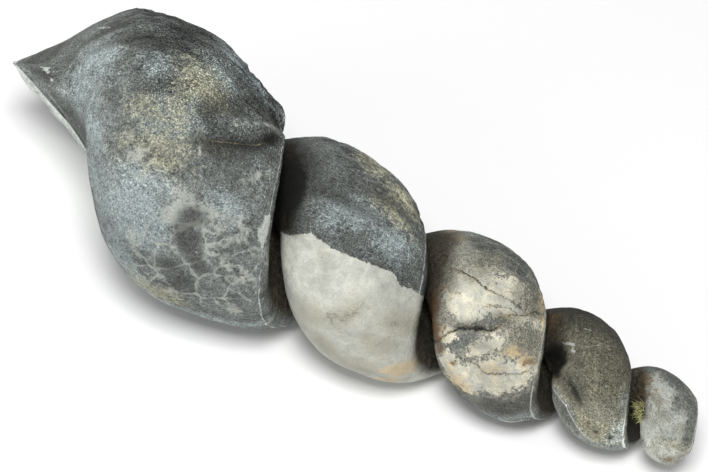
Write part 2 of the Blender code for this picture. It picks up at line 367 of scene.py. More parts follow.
LINES = {
    "crease": (
        (0.01, 0.113), (0.07, 0.094), (0.14, 0.079), (0.21, 0.068), (0.27, 0.059), (0.34, 0.052),
    ),
    "hairline": ((0.38, 0.047), (0.44, 0.040), (0.58, 0.026), (0.67, 0.012), (0.78, -0.003)),
    "main_crack": (
        (0.04, -1.884), (0.09, -1.898), (0.20, -1.930), (0.31, -1.946), (0.35, -1.958),
        (0.37, -1.975), (0.42, -1.989), (0.47, -1.997), (0.52, -1.998), (0.56, -2.001),
        (0.61, -2.011), (0.69, -2.019), (0.77, -2.039), (0.84, -2.068), (0.92, -2.107),
    ),
    "upper_crack": (
        (0.22, -1.924), (0.33, -1.920), (0.45, -1.922), (0.55, -1.921), (0.65, -1.910),
        (0.80, -1.899),
    ),
    "middle_crack": ((0.26, -1.937), (0.33, -1.936), (0.41, -1.942), (0.54, -1.957)),
    "lower_crack": (
        (0.09, -2.038), (0.16, -2.052), (0.30, -2.067), (0.44, -2.081), (0.48, -2.071),
        (0.56, -2.071), (0.66, -2.077),
    ),
    "scratch": ((0.20, -2.820), (0.43, -2.891), (0.60, -2.917)),
    "recess_rim": ((0.69, -2.943), (0.76, -2.972), (0.87, -3.039), (0.90, -3.080)),
    "facet": ((0.28, -3.175), (0.46, -3.149), (0.67, -3.091), (0.85, -3.074)),
    "stain_edge": (
        (0.0, -0.992), (0.08, -0.990), (0.15, -0.995), (0.20, -0.980), (0.30, -0.984),
        (0.46, -0.990), (0.60, -0.991), (0.72, -0.984), (0.85, -1.004), (1.0, -1.010),
    ),
}
print("lines:", ", ".join(LINES))

# %% Distance from a line
OUTER_OUT = (0.35, 0.55)


def line_offset(name, turn, along):
    """Millimetres from a line, positive on the side of the higher turns: the turn less the
    line's turn at the same along, times the way round the whorl."""
    line_along, line_turn = np.array(LINES[name]).T
    offset = (turn - np.interp(along, line_along, line_turn)) * MM_PER_TURN * GROWTH ** turn
    return np.clip(offset, -FAR, FAR)


def groove(name, half_width, fade=0.04):
    """1 on a line, 0 beyond its half width in millimetres and past both of its ends."""
    ends = np.array(LINES[name])[[0, -1], 0]
    within = ramp(along, ends[0] - fade, ends[0]) * ramp(along, ends[1] + fade, ends[1])
    return np.clip(1 - np.abs(line_offset(name, turn, along)) / half_width, 0, 1) * within * outer


outer = ramp(out, *OUTER_OUT)
print("points within 1 mm of the main crack:", int((groove("main_crack", 1.0) > 0).sum()))

# %% [markdown]
# ## Relief of the weathered skin
# Water and grit leave broad lumps, small pits and a coarse crust where the stone lay exposed.
# The relief is a height in millimetres for every grid point, summed from noise of several sizes
# and from the placed marks, and pushed out along the surface's own direction.

# %% Heights in millimetres
CRUST = (
    (-4.30, 0.05), (-3.85, 0.1), (-2.90, 0.1), (-2.76, 0.3), (-2.55, 0.2), (-1.90, 0.1),
    (-1.78, 0.6), (-1.55, 0.3), (-0.90, 0.1), (-0.78, 0.6), (-0.55, 0.3), (-0.22, 0.3),
    (-0.15, 0.3), (-0.09, 0.0), (0.10, 0.15), (0.17, 0.9), (0.23, 1.3), (0.32, 0.8), (0.55, 0.3),
)
BROAD_LUMP, FINE_LUMP, GRIT, PIT = 0.013, 0.0055, 0.0022, 0.0031      # metres across
RIDGE, CRUST_LUMP, CRUMB, EDGE_NICK = 0.0050, 0.012, 0.0024, 0.0035     # metres across
FURROW_DEPTH = 1.5          # millimetres
GROOVES = (                 # line, half width and height in millimetres
    ("crease", 2.6, -0.75), ("crease", 0.9, -0.50), ("main_crack", 0.8, -0.55),
    ("upper_crack", 0.7, -0.25), ("middle_crack", 0.7, -0.20), ("lower_crack", 0.7, -0.18),
    ("facet", 1.6, 0.30), ("scratch", 0.6, -0.12),
)
back_edge = bell(along, 0.0, 0.035) * ramp(out, 0.66, 0.72)


def crumbs(size, seed):
    """Noise folded at zero, which gives sharp creases between rounded crumbs."""
    return 1 - 2 * np.abs(stone_noise(tube, size, seed))


lumps = 0.26 * stone_noise(tube, BROAD_LUMP, 1) + 0.15 * stone_noise(tube, FINE_LUMP, 2)
pits = 0.07 * stone_noise(tube, GRIT, 3) - 0.10 * ramp(stone_noise(tube, PIT, 4), 0.45, 0.8)
crust_here = eased(turn, CRUST) * ramp(along, 0.80, 0.60) * outer
unrolled = 0.001 * np.stack([turn * MM_PER_TURN, 0.4 * along * MM_PER_ALONG, 0 * along], axis=-1)
ridges = (1 - 2 * np.abs(stone_noise(unrolled * GROWTH ** turn[..., None], RIDGE, 5))) ** 2
furrowed_crust = -FURROW_DEPTH * ridges * ramp(stone_noise(tube, CRUST_LUMP, 9), -0.5, 0.3)
crust = crust_here * (furrowed_crust + 0.30 * crumbs(CRUMB, 6))
worn_edge = back_edge * (0.25 - 0.35 * ramp(stone_noise(tube, EDGE_NICK, 7), 0.1, 0.7))
creases = sum(rise * groove(name, half_width) for name, half_width, rise in GROOVES)
relief = lumps + pits + crust + worn_edge + creases
print("relief in millimetres:", relief.min().round(2), "to", relief.max().round(2))

# %% Push the relief out
START_FADE, END_FADE = 12, 3        # rings over which the relief dies away at the two ends


def surface_directions(rings):
    """Unit directions out of the surface: the way to the next ring crossed with the way to the
    next point on the ring."""
    next_ring = np.gradient(rings, axis=0)
    next_side = np.roll(rings, -1, axis=1) - np.roll(rings, 1, axis=1)
    facing = np.cross(next_ring, next_side)
    return facing / np.maximum(np.linalg.norm(facing, axis=-1, keepdims=True), 1e-12)


ring_number = np.arange(len(tube))[:, None]
whole = ramp(ring_number, 0, START_FADE) * ramp(ring_number[::-1], 0, END_FADE)
skin = tube + surface_directions(tube) * (0.001 * relief * whole)[..., None]
print("skin height in millimetres:", (1000 * np.ptp(skin[..., 2])).round(1))

# %% [markdown]
# ## The broken face
# A break through limestone is hackly: small steps and hollows between sharp little crests. The
# rim's ring is drawn in towards its middle in steps, and each step is moved in or out by the
# same folded noise, more in the middle than at the rim.

# %% Rings across the break
BREAK_LUMP_MM, BREAK_CRUMB_MM = 1.5, 0.45
RIM_STEPS = 1.35            # above 1, the first rings stand closer to the rim

facing = turned_down(np.array(BREAK_FACING) / np.linalg.norm(BREAK_FACING))
rim = skin[-1]
drawn_in = (np.linspace(0, 1, RINGS_ON_BREAK + 1)[1:-1] ** RIM_STEPS)[:, None, None]
face = rim + (rim.mean(axis=0) - rim) * drawn_in
hackle = BREAK_LUMP_MM * stone_noise(face, 0.011, 8) + BREAK_CRUMB_MM * (
    1 - 2 * np.abs(stone_noise(face, 0.0045, 9)) + 0.6 * stone_noise(face, 0.0016, 10)
)
face = face + facing * (0.001 * hackle * ramp(drawn_in[..., 0], 0.0, 0.2))[..., None]
rings = np.concatenate([skin, face])
rings[..., 2] = np.maximum(rings[..., 2], 0.0)
print("broken face in millimetres:", (1000 * np.ptp(face.reshape(-1, 3), axis=0)).round(1))

# %% [markdown]
# ## From the grid to a mesh
# The grid closes round the outline by itself. At each end one extra point closes the last ring
# with a fan of triangles, so the stone is watertight. Values that the material needs, such as
# the turn, go along as attributes, which Cycles blends smoothly across every face.

# %% Build the stone


def closed_skin(name, rings):
    """A mesh of the rings: quad (ring, side), (next ring, side), (next ring, next side),
    (ring, next side), and a fan round the middle of the first and of the last ring."""
    count, sides = rings.shape[:2]
    index = np.arange(count * sides).reshape(count, sides)
    after = np.roll(index, -1, axis=1)
    quads = np.stack([index[:-1], index[1:], after[1:], after[:-1]], axis=-1).reshape(-1, 4)
    first, last = count * sides, count * sides + 1
    start_fan = [(first, here, there) for here, there in zip(index[0], after[0])]
    end_fan = [(here, last, there) for here, there in zip(index[-1], after[-1])]
    points = np.concatenate([rings.reshape(-1, 3), rings[[0, -1]].mean(axis=1)])
    mesh = bpy.data.meshes.new(name)
    mesh.from_pydata(points, [], quads.tolist() + start_fan + end_fan)
    mesh.shade_smooth()
    mesh.update()
    return mesh


def give_attribute(mesh, name, grid):
    """Store one value per point: the grid's values on the tube, repeated across the break."""
    across_break = np.repeat(grid[-1:], len(rings) - len(grid), axis=0)
    values = np.concatenate([grid, across_break]).ravel()
    values = np.concatenate([values, [values[:SIDES].mean(), values[-SIDES:].mean()]])
    mesh.attributes.new(name, "FLOAT", "POINT").data.foreach_set("value", values.astype(np.float32))


stone_mesh = closed_skin("snail_cast", rings)
stone = bpy.data.objects.new("snail_cast", stone_mesh)
bpy.context.scene.collection.objects.link(stone)
print("triangles:", sum(len(polygon.vertices) - 2 for polygon in stone_mesh.polygons))

# %% [markdown]
# ## Stains as patches
# The stone is stained in patches. A patch is an ellipse laid on the unrolled tube, and one row of
# five numbers places it: turn, along, half length and half width in millimetres, and lean in
# degrees. A lean of 0 lays the length round the whorl, and 90 lays it along the axis. Painting an
# image would show more detail, but rows can be read, moved and scaled with the stone.

# %% Pale patches: calcite skins, bleached stone and painted highlights, chalky scratches and veins
PATCHES = {
    "pale": (
        (-1.961, 0.69, 5.6, 5.4, 45), (-1.915, 0.62, 6.6, 3.6, -50), (-1.902, 0.38, 6.4, 3.0, -60),
        (-1.940, 0.48, 9.0, 3.2, -65), (-1.935, 0.25, 3.6, 2.4, -60), (-2.045, 0.79, 3.0, 2.2, -40),
        (-2.087, 0.40, 14.0, 4.2, -60), (-2.047, 0.15, 3.0, 3.4, -75),
        (-2.114, 0.73, 4.6, 3.4, -45), (-2.022, 0.43, 5.4, 1.6, -50), (-1.930, 0.09, 2.5, 1.3, -45),
    ),
    "milky": (
        (-0.017, 0.34, 2.8, 1.5, 85), (-0.029, 0.37, 2.0, 1.6, -65), (-0.044, 0.40, 2.6, 1.9, -30),
        (-0.019, 0.25, 3.0, 1.1, -85), (-0.020, 0.21, 2.1, 0.8, -65), (-0.054, 0.16, 3.3, 0.8, -55),
        (-0.040, 0.10, 2.2, 0.6, -50), (-0.022, 0.08, 0.9, 2.1, -65), (-0.030, 0.21, 0.9, 1.9, -55),
        (0.120, 0.10, 4.0, 0.5, -50), (0.043, 0.08, 2.6, 0.8, -45), (0.002, 0.59, 2.8, 1.4, -65),
        (-0.160, 0.10, 1.7, 2.4, -68), (-0.096, 0.07, 2.5, 1.2, -70), (-0.105, 0.56, 2.6, 1.4, 10),
        (-0.52, 0.30, 9.0, 3.0, 15), (0.30, 0.25, 7.0, 2.5, 60), (-3.876, 0.66, 1.7, 3.4, -85),
        (-3.921, 0.52, 2.6, 2.2, -90), (-3.989, 0.41, 3.0, 2.4, -65), (-3.968, 0.70, 1.4, 5.0, -70),
        (-4.060, 0.62, 2.8, 3.6, -60), (-4.120, 0.38, 4.3, 1.5, -70), (-4.009, 0.27, 2.2, 1.9, -65),
        (-4.20, 0.60, 3.0, 3.0, 0), (-3.895, 0.55, 3.0, 2.2, -80), (-4.000, 0.33, 4.0, 2.6, -30),
        (-4.080, 0.62, 4.0, 2.6, -60),
    ),
    # Bleached stone, and a painted highlight and bluish reflection on the front rim and neck of the
    # last whorl.
    "bleached_and_highlight": (
        (0.130, 0.80, 9.0, 3.6, -2), (0.060, 0.47, 9.0, 5.5, -50), (0.140, 0.32, 6.0, 4.5, -60),
        (0.080, 0.84, 12.0, 2.4, -6), (0.010, 0.81, 14.0, 2.8, 12), (-0.072, 0.77, 9.0, 3.8, 20),
        (-0.070, 0.57, 12.0, 8.5, -60), (0.116, 0.57, 3.4, 3.0, -70),
        (-0.165, 0.62, 5.5, 12.0, -75), (-0.225, 0.35, 15.0, 3.0, -80),
        (-0.008, 0.16, 4.6, 3.2, -65), (-0.924, 0.50, 7.5, 3.0, -70), (-0.950, 0.61, 3.0, 1.8, -65),
        (-0.935, 0.24, 5.4, 3.4, -55), (-2.225, 0.32, 8.0, 1.6, -65), (0.200, 0.20, 9.0, 5.0, 70),
        (-0.030, 0.55, 8.0, 5.0, -65), (-2.58, 0.50, 9.0, 6.0, 0), (-0.60, 0.45, 16.0, 8.0, 20),
        (-3.080, 0.02, 5.6, 1.1, -5), (-3.165, 0.10, 3.4, 1.1, -20),
    ),
    "chalk": (
        (-0.012, -0.012, 4.8, 0.9, -3), (-0.022, 0.002, 2.4, 0.8, 8), (0.290, 0.962, 2.6, 0.9, 0),
        (0.232, 0.905, 3.4, 0.45, 25), (0.214, 0.91, 4.6, 0.5, -5), (0.200, 0.895, 3.0, 0.2, 30),
        (0.039, 0.32, 1.2, 0.3, 15), (0.160, 0.93, 2.0, 0.4, -10), (-2.857, 0.56, 1.2, 0.3, -85),
        (-2.918, 0.74, 1.6, 0.4, 90), (-2.935, 0.69, 0.6, 0.4, -80), (-2.246, 0.30, 7.0, 0.8, -60),
        (0.215, 0.77, 2.0, 0.2, 20),
    ),
    "veined": (
        (-0.100, 0.26, 24.0, 15.0, -60), (-0.060, 0.10, 12.0, 9.0, 0), (-2.12, 0.30, 9.0, 3.0, -70),
        (-0.50, 0.50, 16.0, 12.0, 0), (0.38, 0.40, 12.0, 10.0, 0),
    ),
}
print("pale patches:", {name: len(rows) for name, rows in PATCHES.items()})

# %% Dark patches: mud and painted shade, black painted shade, slate grey and taupe
PATCHES.update({
    # Mud, and painted shade in the dent under the fold, near the chip and along the cracks.
    "mud_and_shade": (
        (0.114, 0.24, 9.5, 2.0, -42), (0.088, 0.33, 3.0, 2.4, 0), (0.155, 0.08, 6.5, 1.4, -88),
        (0.106, 0.05, 4.6, 1.9, -40), (0.085, 0.01, 2.2, 1.6, -60), (0.052, 0.24, 5.0, 1.9, -76),
        (0.072, 0.16, 6.5, 1.6, -55), (-0.036, 0.30, 3.4, 2.2, -65), (-0.064, 0.31, 3.4, 4.4, -65),
        (-0.091, 0.25, 2.2, 2.7, -65), (-0.111, 0.38, 3.0, 1.8, -60), (0.34, 0.86, 9.0, 3.0, 5),
        (0.055, 0.94, 17.0, 2.2, 10), (0.155, 0.66, 9.0, 2.2, 85), (-0.030, 0.95, 9.0, 1.6, 10),
        (0.300, 0.88, 8.0, 2.8, 15), (0.190, 0.945, 10.0, 1.7, 5), (0.200, 0.76, 5.0, 2.8, -80),
        (0.236, 0.58, 5.0, 0.8, -88), (0.226, 0.50, 5.0, 1.0, -86), (0.212, 0.42, 5.0, 1.2, -82),
        (0.200, 0.35, 4.0, 0.8, -80), (-0.870, 0.28, 5.4, 1.6, -85), (-0.912, 0.60, 10.0, 1.7, 88),
        (-0.86, 0.78, 6.0, 2.4, 10), (-1.800, 0.86, 3.3, 5.0, 50), (-1.880, 0.92, 6.0, 2.0, 0),
        (-1.962, 0.42, 2.0, 0.9, -75), (-2.003, 0.63, 4.0, 0.9, -65), (-2.026, 0.46, 1.9, 0.5, -65),
        (-2.156, 0.24, 7.5, 3.0, -75), (-2.117, 0.07, 2.2, 1.8, -40), (-3.028, 0.63, 5.0, 3.2, 45),
        (-2.975, 0.62, 2.6, 1.4, 25), (-3.126, 0.30, 0.5, 0.4, 0), (-3.140, 0.14, 0.4, 0.3, 0),
        (-2.740, 0.60, 6.0, 5.0, 60), (-0.45, 0.62, 9.0, 4.0, 20), (-3.120, 0.70, 5.0, 2.6, 60),
    ),
    # Painted shade: near-black in the chip, on the gap flanks, in the fold's crease and in the deepest
    # cracks.
    "black_shade": (
        (-2.960, 0.86, 3.0, 3.4, 0), (-2.938, 0.82, 2.4, 1.2, 75), (-3.036, 0.60, 2.4, 0.8, 45),
        (0.112, 0.03, 3.0, 1.2, -40), (-3.126, 0.30, 0.7, 0.6, 0), (-3.140, 0.14, 0.6, 0.5, 0),
        (-1.998, 0.52, 2.4, 0.5, -65), (-2.014, 0.66, 1.8, 0.4, -65), (-0.905, 0.865, 10.0, 3.6, 0),
        (-3.055, 0.92, 3.0, 1.4, 0),
    ),
    "slate": (
        (-3.130, 0.72, 6.4, 4.6, 50), (0.000, 0.955, 16.0, 2.2, 10), (0.270, 0.89, 11.0, 3.2, 15),
        (-3.180, 0.50, 4.6, 2.4, 75), (-3.907, 0.31, 2.3, 2.2, -45), (-3.827, 0.38, 3.0, 3.0, -85),
        (-3.881, 0.13, 2.3, 4.5, -45), (-3.980, 0.06, 7.0, 2.4, 0), (-3.955, 0.34, 2.0, 1.3, -40),
        (-4.030, 0.30, 3.0, 1.4, -60), (-3.758, 0.59, 4.1, 2.8, 75), (-3.793, 0.79, 1.7, 3.0, -45),
        (-2.050, 0.68, 5.8, 1.9, -45), (-2.080, 0.73, 2.8, 1.8, -55), (-1.998, 0.62, 5.0, 1.4, -65),
        (-1.962, 0.44, 3.4, 2.2, -80), (-1.822, 0.57, 3.4, 2.6, 80), (-1.800, 0.45, 3.0, 8.0, 0),
        (-1.838, 0.40, 3.3, 2.3, 70), (-1.846, 0.26, 2.2, 2.3, 45), (-1.860, 0.14, 3.0, 2.4, 30),
    ),
    "taupe": (
        (-1.078, 0.42, 2.6, 0.6, -40), (-1.088, 0.50, 1.1, 0.6, -60), (-1.064, 0.15, 1.4, 0.5, -75),
        (-1.871, 0.58, 8.6, 2.8, -35), (-1.890, 0.20, 5.0, 4.2, -15), (-1.935, 0.80, 2.2, 2.4, -20),
        (-1.977, 0.17, 4.9, 4.1, -60), (-1.967, 0.27, 3.6, 2.8, -65), (-3.055, 0.27, 6.0, 3.4, 88),
        (-3.983, 0.48, 2.0, 1.2, -65), (-4.060, 0.44, 1.6, 0.8, -60), (-4.020, 0.60, 1.2, 0.6, -30),
        (-3.930, 0.60, 1.4, 0.5, -80), (-4.130, 0.50, 1.5, 0.8, 20), (-4.000, 0.22, 2.4, 0.9, -65),
    ),
})
print("kinds of patch:", len(PATCHES))

# %% Warm patches: yellowish crystal, beige, tan and rust
PATCHES.update({
    "olive": (
        (0.123, 0.33, 3.6, 3.6, -55), (0.120, 0.36, 7.0, 5.4, 65), (0.074, 0.45, 6.4, 3.4, -15),
        (0.058, 0.58, 3.4, 2.8, -66), (0.027, 0.49, 8.0, 2.6, -65), (0.010, 0.47, 5.0, 2.0, -75),
        (-0.792, 0.40, 3.6, 5.0, 65), (-0.827, 0.20, 4.9, 4.4, -80), (-0.885, 0.28, 3.4, 1.8, 70),
        (-0.185, 0.48, 7.5, 4.0, -80), (-4.095, 0.27, 2.8, 1.4, -70), (-1.900, 0.03, 6.0, 1.6, 0),
        (-4.030, 0.86, 2.6, 1.6, -55),
    ),
    "beige": (
        (-1.060, 0.10, 7.0, 4.0, -75), (-1.112, 0.22, 5.0, 4.0, -70), (-1.163, 0.56, 4.6, 3.9, 70),
        (-1.180, 0.35, 7.0, 3.6, -75), (-1.076, 0.43, 6.4, 2.6, -40), (-1.064, 0.16, 3.4, 2.8, -75),
        (-1.110, 0.64, 6.0, 3.0, -60),
    ),
    "tan": (
        (-1.180, 0.10, 3.6, 3.8, -75), (-1.225, 0.20, 2.8, 2.2, -75), (-2.014, 0.13, 1.8, 1.3, -65),
        (-2.135, 0.57, 1.7, 1.3, -50), (-1.747, 0.80, 1.4, 2.6, 60), (-1.794, 0.77, 1.5, 1.2, 25),
        (-1.801, 0.88, 3.0, 1.4, -5), (-1.730, 0.72, 1.2, 2.0, 65), (-1.860, 0.06, 4.4, 1.0, 0),
        (-2.140, 0.64, 2.6, 2.0, -60), (-2.122, 0.73, 1.6, 1.5, -50), (-2.012, 0.24, 2.4, 1.7, -60),
        (-2.062, 0.33, 2.4, 0.8, -65),
    ),
    "rust": (
        (-2.077, 0.89, 2.4, 1.2, -40), (-2.060, 0.91, 4.0, 1.8, -30), (-2.010, 0.93, 5.5, 1.4, -8),
        (-2.100, 0.84, 2.4, 1.0, -20), (-2.816, 0.86, 2.2, 0.6, -10), (-3.861, 0.73, 2.6, 0.5, 10),
        (-3.937, 0.57, 1.0, 0.5, -70), (-3.920, 0.68, 1.4, 0.4, -85), (-4.150, 0.30, 1.2, 0.7, -40),
        (-2.097, 0.69, 1.1, 0.6, -50), (-2.018, 0.10, 1.5, 0.8, -65),
    ),
})
print("kinds of patch:", len(PATCHES))

# %% [markdown]
# ## How deep a point lies in a patch
# The mesh keeps, for every point, how many millimetres it lies inside the nearest patch of each
# kind. The material can then roughen that edge with noise, and make it as soft or as sharp as the
# real one. The cream skin of the second whorl and the slate side of the fourth end at a line.

# %% Depth inside the patches


def patch_depth(rows):
    """Millimetres inside the nearest patch, negative outside: the way to its middle is turned
    by the lean, divided by the half length and half width, and its length taken from 1."""
    depth = np.full(turn.shape, -FAR)
    for middle_turn, middle_along, half_length, half_width, lean in rows:
        size = GROWTH ** middle_turn
        around_mm = (turn - middle_turn) * MM_PER_TURN * size
        along_mm = (along - middle_along) * MM_PER_ALONG * size
        lean = math.radians(lean)
        length_way = around_mm * math.cos(lean) + along_mm * math.sin(lean)
        width_way = along_mm * math.cos(lean) - around_mm * math.sin(lean)
        inside = 1 - np.hypot(length_way / half_length, width_way / half_width)
        depth = np.maximum(depth, inside * min(half_length, half_width))
    return depth


CREAM_END_TURN = -1.50      # where the pale underside of the second whorl turns grey again
CREAM_TURNS, FACET_TURNS = (-1.6, -0.9), (-3.45, -2.95)
STAINED_OUT = 0.42          # the inner side of the tube has no stains, except on the flange
FLANGE_TURN, FLANGE_ALONG, FLANGE_OUT = -0.3, 0.6, 0.18

on_flange = (turn > FLANGE_TURN) & (along > FLANGE_ALONG) & (out > FLANGE_OUT)
outside = (out > STAINED_OUT) | on_flange
stain = {name: np.where(outside, patch_depth(rows), -FAR) for name, rows in PATCHES.items()}
below_stain_edge = -line_offset("stain_edge", turn, along)
before_cream_end = (turn - CREAM_END_TURN) * MM_PER_TURN * GROWTH ** CREAM_END_TURN
cream_half = np.minimum(below_stain_edge, before_cream_end)
on_second_whorl = (turn > CREAM_TURNS[0]) & (turn < CREAM_TURNS[1]) & (out > 0.5)
stain["cream"] = np.clip(np.where(on_second_whorl, cream_half, -FAR), -FAR, FAR)
on_fourth_whorl = (turn > FACET_TURNS[0]) & (turn < FACET_TURNS[1]) & (out > 0.5)
below_facet = np.where(on_fourth_whorl, -line_offset("facet", turn, along), -FAR)
stain["slate"] = np.maximum(stain["slate"], below_facet)
print("share of points inside a dark patch:", round(float((stain["mud_and_shade"] > 0).mean()), 3))

# %% [markdown]
# ## How the stone changes from whorl to whorl
# The ground is browner on one whorl, charcoal or weathered on another, and so are the dirt and
# painted shade in its gap, its grain and its brightness. Each is again a short table of (turn, value)
# rows. The tone table is a factor on the finished colour: partly the stone's own tone, and partly
# painted shade and light, darker on the tops of the smaller whorls and lighter on their lower sides.
# The coarse table is a factor on the grain, and the flank table says how far dirt and painted shade
# climb the front.

# %% Tables of ground, dirt, grain and shade
BROWN_SHARE = ((-3.70, 0.0), (-3.45, 0.9), (-2.85, 0.9), (-2.60, 0.2), (-2.30, 0.0))
WEATHERED_SHARE = (
    (-3.90, 0.60), (-3.80, 0.4), (-3.72, 0.0), (-3.30, 0.0), (-2.24, 0.1), (-2.14, 0.4),
    (-1.95, 0.9), (-1.86, 0.8), (-1.79, 0.3), (-1.60, 0.0),
)
CHARCOAL_SHARE = (
    (-4.30, 0.2), (-3.80, 0.4), (-3.40, 0.3), (-2.60, 0.6), (-2.30, 0.6), (-1.90, 0.35),
    (-1.40, 0.6), (-0.90, 0.65), (-0.70, 0.6), (-0.40, 0.2), (0.06, 0.0), (0.24, 0.30), (0.50, 0.1),
)
PEBBLES = (
    (-2.02, 0.0), (-1.94, 0.6), (-1.84, 0.6), (-1.74, 0.0), (-0.50, 0.0), (-0.30, 0.1),
    (-0.05, 0.15), (0.03, 0.5), (0.09, 1.0), (0.19, 1.0), (0.26, 0.6), (0.50, 0.2),
)
COARSE = (
    (-1.70, 0.95), (-0.80, 0.90), (-0.45, 0.62), (0.02, 0.62), (0.09, 1.0), (0.26, 0.95),
    (0.40, 0.7),
)
GAP_BROWN = (
    (-4.20, 0.6), (-3.80, 0.6), (-3.40, 0.2), (-2.94, 0.1), (-2.90, 0.5), (-2.72, 0.4),
    (-2.55, 0.3), (-2.20, 0.4), (-2.08, 0.7), (-1.85, 0.55), (-1.70, 0.3), (-1.30, 0.4),
    (-1.10, 0.5), (-1.02, 0.1), (-0.90, 0.0), (-0.70, 0.2), (-0.30, 0.8), (-0.17, 0.8),
    (-0.10, 0.3), (-0.04, 0.0), (0.10, 0.3), (0.60, 0.4),
)
# Tone with painted shade and light: the tops of the two smallest whorls are darker, their lower sides
# lighter.
TONE_AND_SHADE = (
    (-4.30, 1.40), (-4.12, 1.40), (-4.02, 1.08), (-3.92, 1.06), (-3.78, 0.85), (-3.60, 0.80),
    (-3.20, 2.05), (-3.10, 2.00), (-3.03, 1.22), (-2.90, 0.80), (-2.82, 0.42), (-2.76, 0.32),
    (-2.60, 0.60), (-2.20, 1.00), (-1.90, 1.05), (-1.78, 1.14), (-1.60, 0.90), (-1.10, 1.00),
    (-0.92, 1.00), (-0.82, 1.40), (-0.60, 1.00), (-0.24, 1.48), (-0.18, 1.10), (-0.13, 0.92),
    (0.05, 1.04), (0.13, 1.27), (0.20, 1.24), (0.26, 1.30), (0.34, 1.45), (0.55, 1.0),
)
# How far dirt and painted shade climb the front flank of each whorl.
FLANK_DIRT_AND_SHADE = (
    (-4.07, 0.0), (-4.02, 0.9), (-3.70, 0.9), (-3.50, 0.4), (-3.06, 0.0), (-3.02, 1.0),
    (-2.93, 1.0), (-2.89, 0.85), (-2.70, 0.85), (-2.50, 0.4), (-2.12, 0.0), (-2.07, 0.5),
    (-1.95, 0.8), (-1.84, 1.0), (-1.70, 1.0), (-1.50, 0.4), (-1.02, 0.0), (-0.99, 1.0),
    (-0.75, 1.0), (-0.50, 0.3),
)
print("rows of shade:", len(TONE_AND_SHADE))

# %% [markdown]
# ## Dirt and painted shade in the gaps, and knocked edges
# Two finishes follow the shape itself. Dirt and painted shade gather where one whorl faces the next,
# and the edge at the back of each whorl is knocked pale. Both are worked out for every grid point
# from the turn and the outline, and stored on the mesh with all the other values.

# %% Gaps and distance from the back edge
FACES_A_WHORL = (-3.50, -3.35)      # the back of the smallest whorl faces no other
NECK_TURNS, NECK_ALONG = (-0.52, -0.36), (0.45, 0.62)
BACK_GAP_OUT = (0.76, 0.55)
FLANK_GAP_OUT, FLANK_GAP_ALONG = (0.97, 0.72), (0.55, 0.80)
EDGE_SHARE = 0.033          # where the outline turns over the back edge

neck = ramp(turn, *NECK_TURNS) * ramp(along, *NECK_ALONG)
back_gap = ramp(out, *BACK_GAP_OUT) * (1 - neck) * ramp(turn, *FACES_A_WHORL)
in_flank = ramp(out, *FLANK_GAP_OUT) * ramp(along, *FLANK_GAP_ALONG)
flank_gap = in_flank * eased(turn, FLANK_DIRT_AND_SHADE) * (1 - neck)
gap = np.maximum(back_gap, flank_gap)

fine_shares = np.linspace(-0.5, 0.5, 2001)
steps = np.diff(closed_curve(SPIRE_OUTLINE, fine_shares % 1), axis=0)
steps = steps * (MM_PER_ALONG, MM_PER_TURN / 2 / math.pi)
run = np.concatenate([[0], np.cumsum(np.linalg.norm(steps, axis=1))])
run = run - np.interp(EDGE_SHARE, fine_shares, run)
from_edge = np.interp((share + 0.5) % 1 - 0.5, fine_shares, run) * GROWTH ** turn
print("deepest point in a gap:", gap.max().round(2))

# %% Store the values on the mesh
values = {
    "turn": turn, "along": along, "gap": gap, "from_edge": np.clip(from_edge, -FAR, FAR),
    "relief": relief, "crust": crust_here, "tone_and_shade": eased(turn, TONE_AND_SHADE),
    "brown": eased(turn, BROWN_SHARE), "charcoal": eased(turn, CHARCOAL_SHARE),
    "weathered": eased(turn, WEATHERED_SHARE), "gap_brown": eased(turn, GAP_BROWN),
    "pebbles": eased(turn, PEBBLES) * ramp(along, 0.80, 0.55), "coarse": eased(turn, COARSE),
}
for name, grid in values.items():
    give_attribute(stone_mesh, name, grid)
for name, grid in stain.items():
    give_attribute(stone_mesh, "stain_" + name, grid)
for name in LINES:
    give_attribute(stone_mesh, "line_" + name, line_offset(name, turn, along))
way_in = ramp(np.arange(len(rings)), len(tube) - 1, len(rings))     # 0 at the rim of the break
give_attribute(stone_mesh, "broken", np.repeat(way_in[:, None], SIDES, axis=1))
print("attributes:", len(stone_mesh.attributes))

# %% [markdown]
# ## Short words for shader nodes
# A Blender material is a tree of nodes. Written out, each node takes several lines, so this
# small class gives each kind of step one short call that returns its output socket.

# %% Node helper


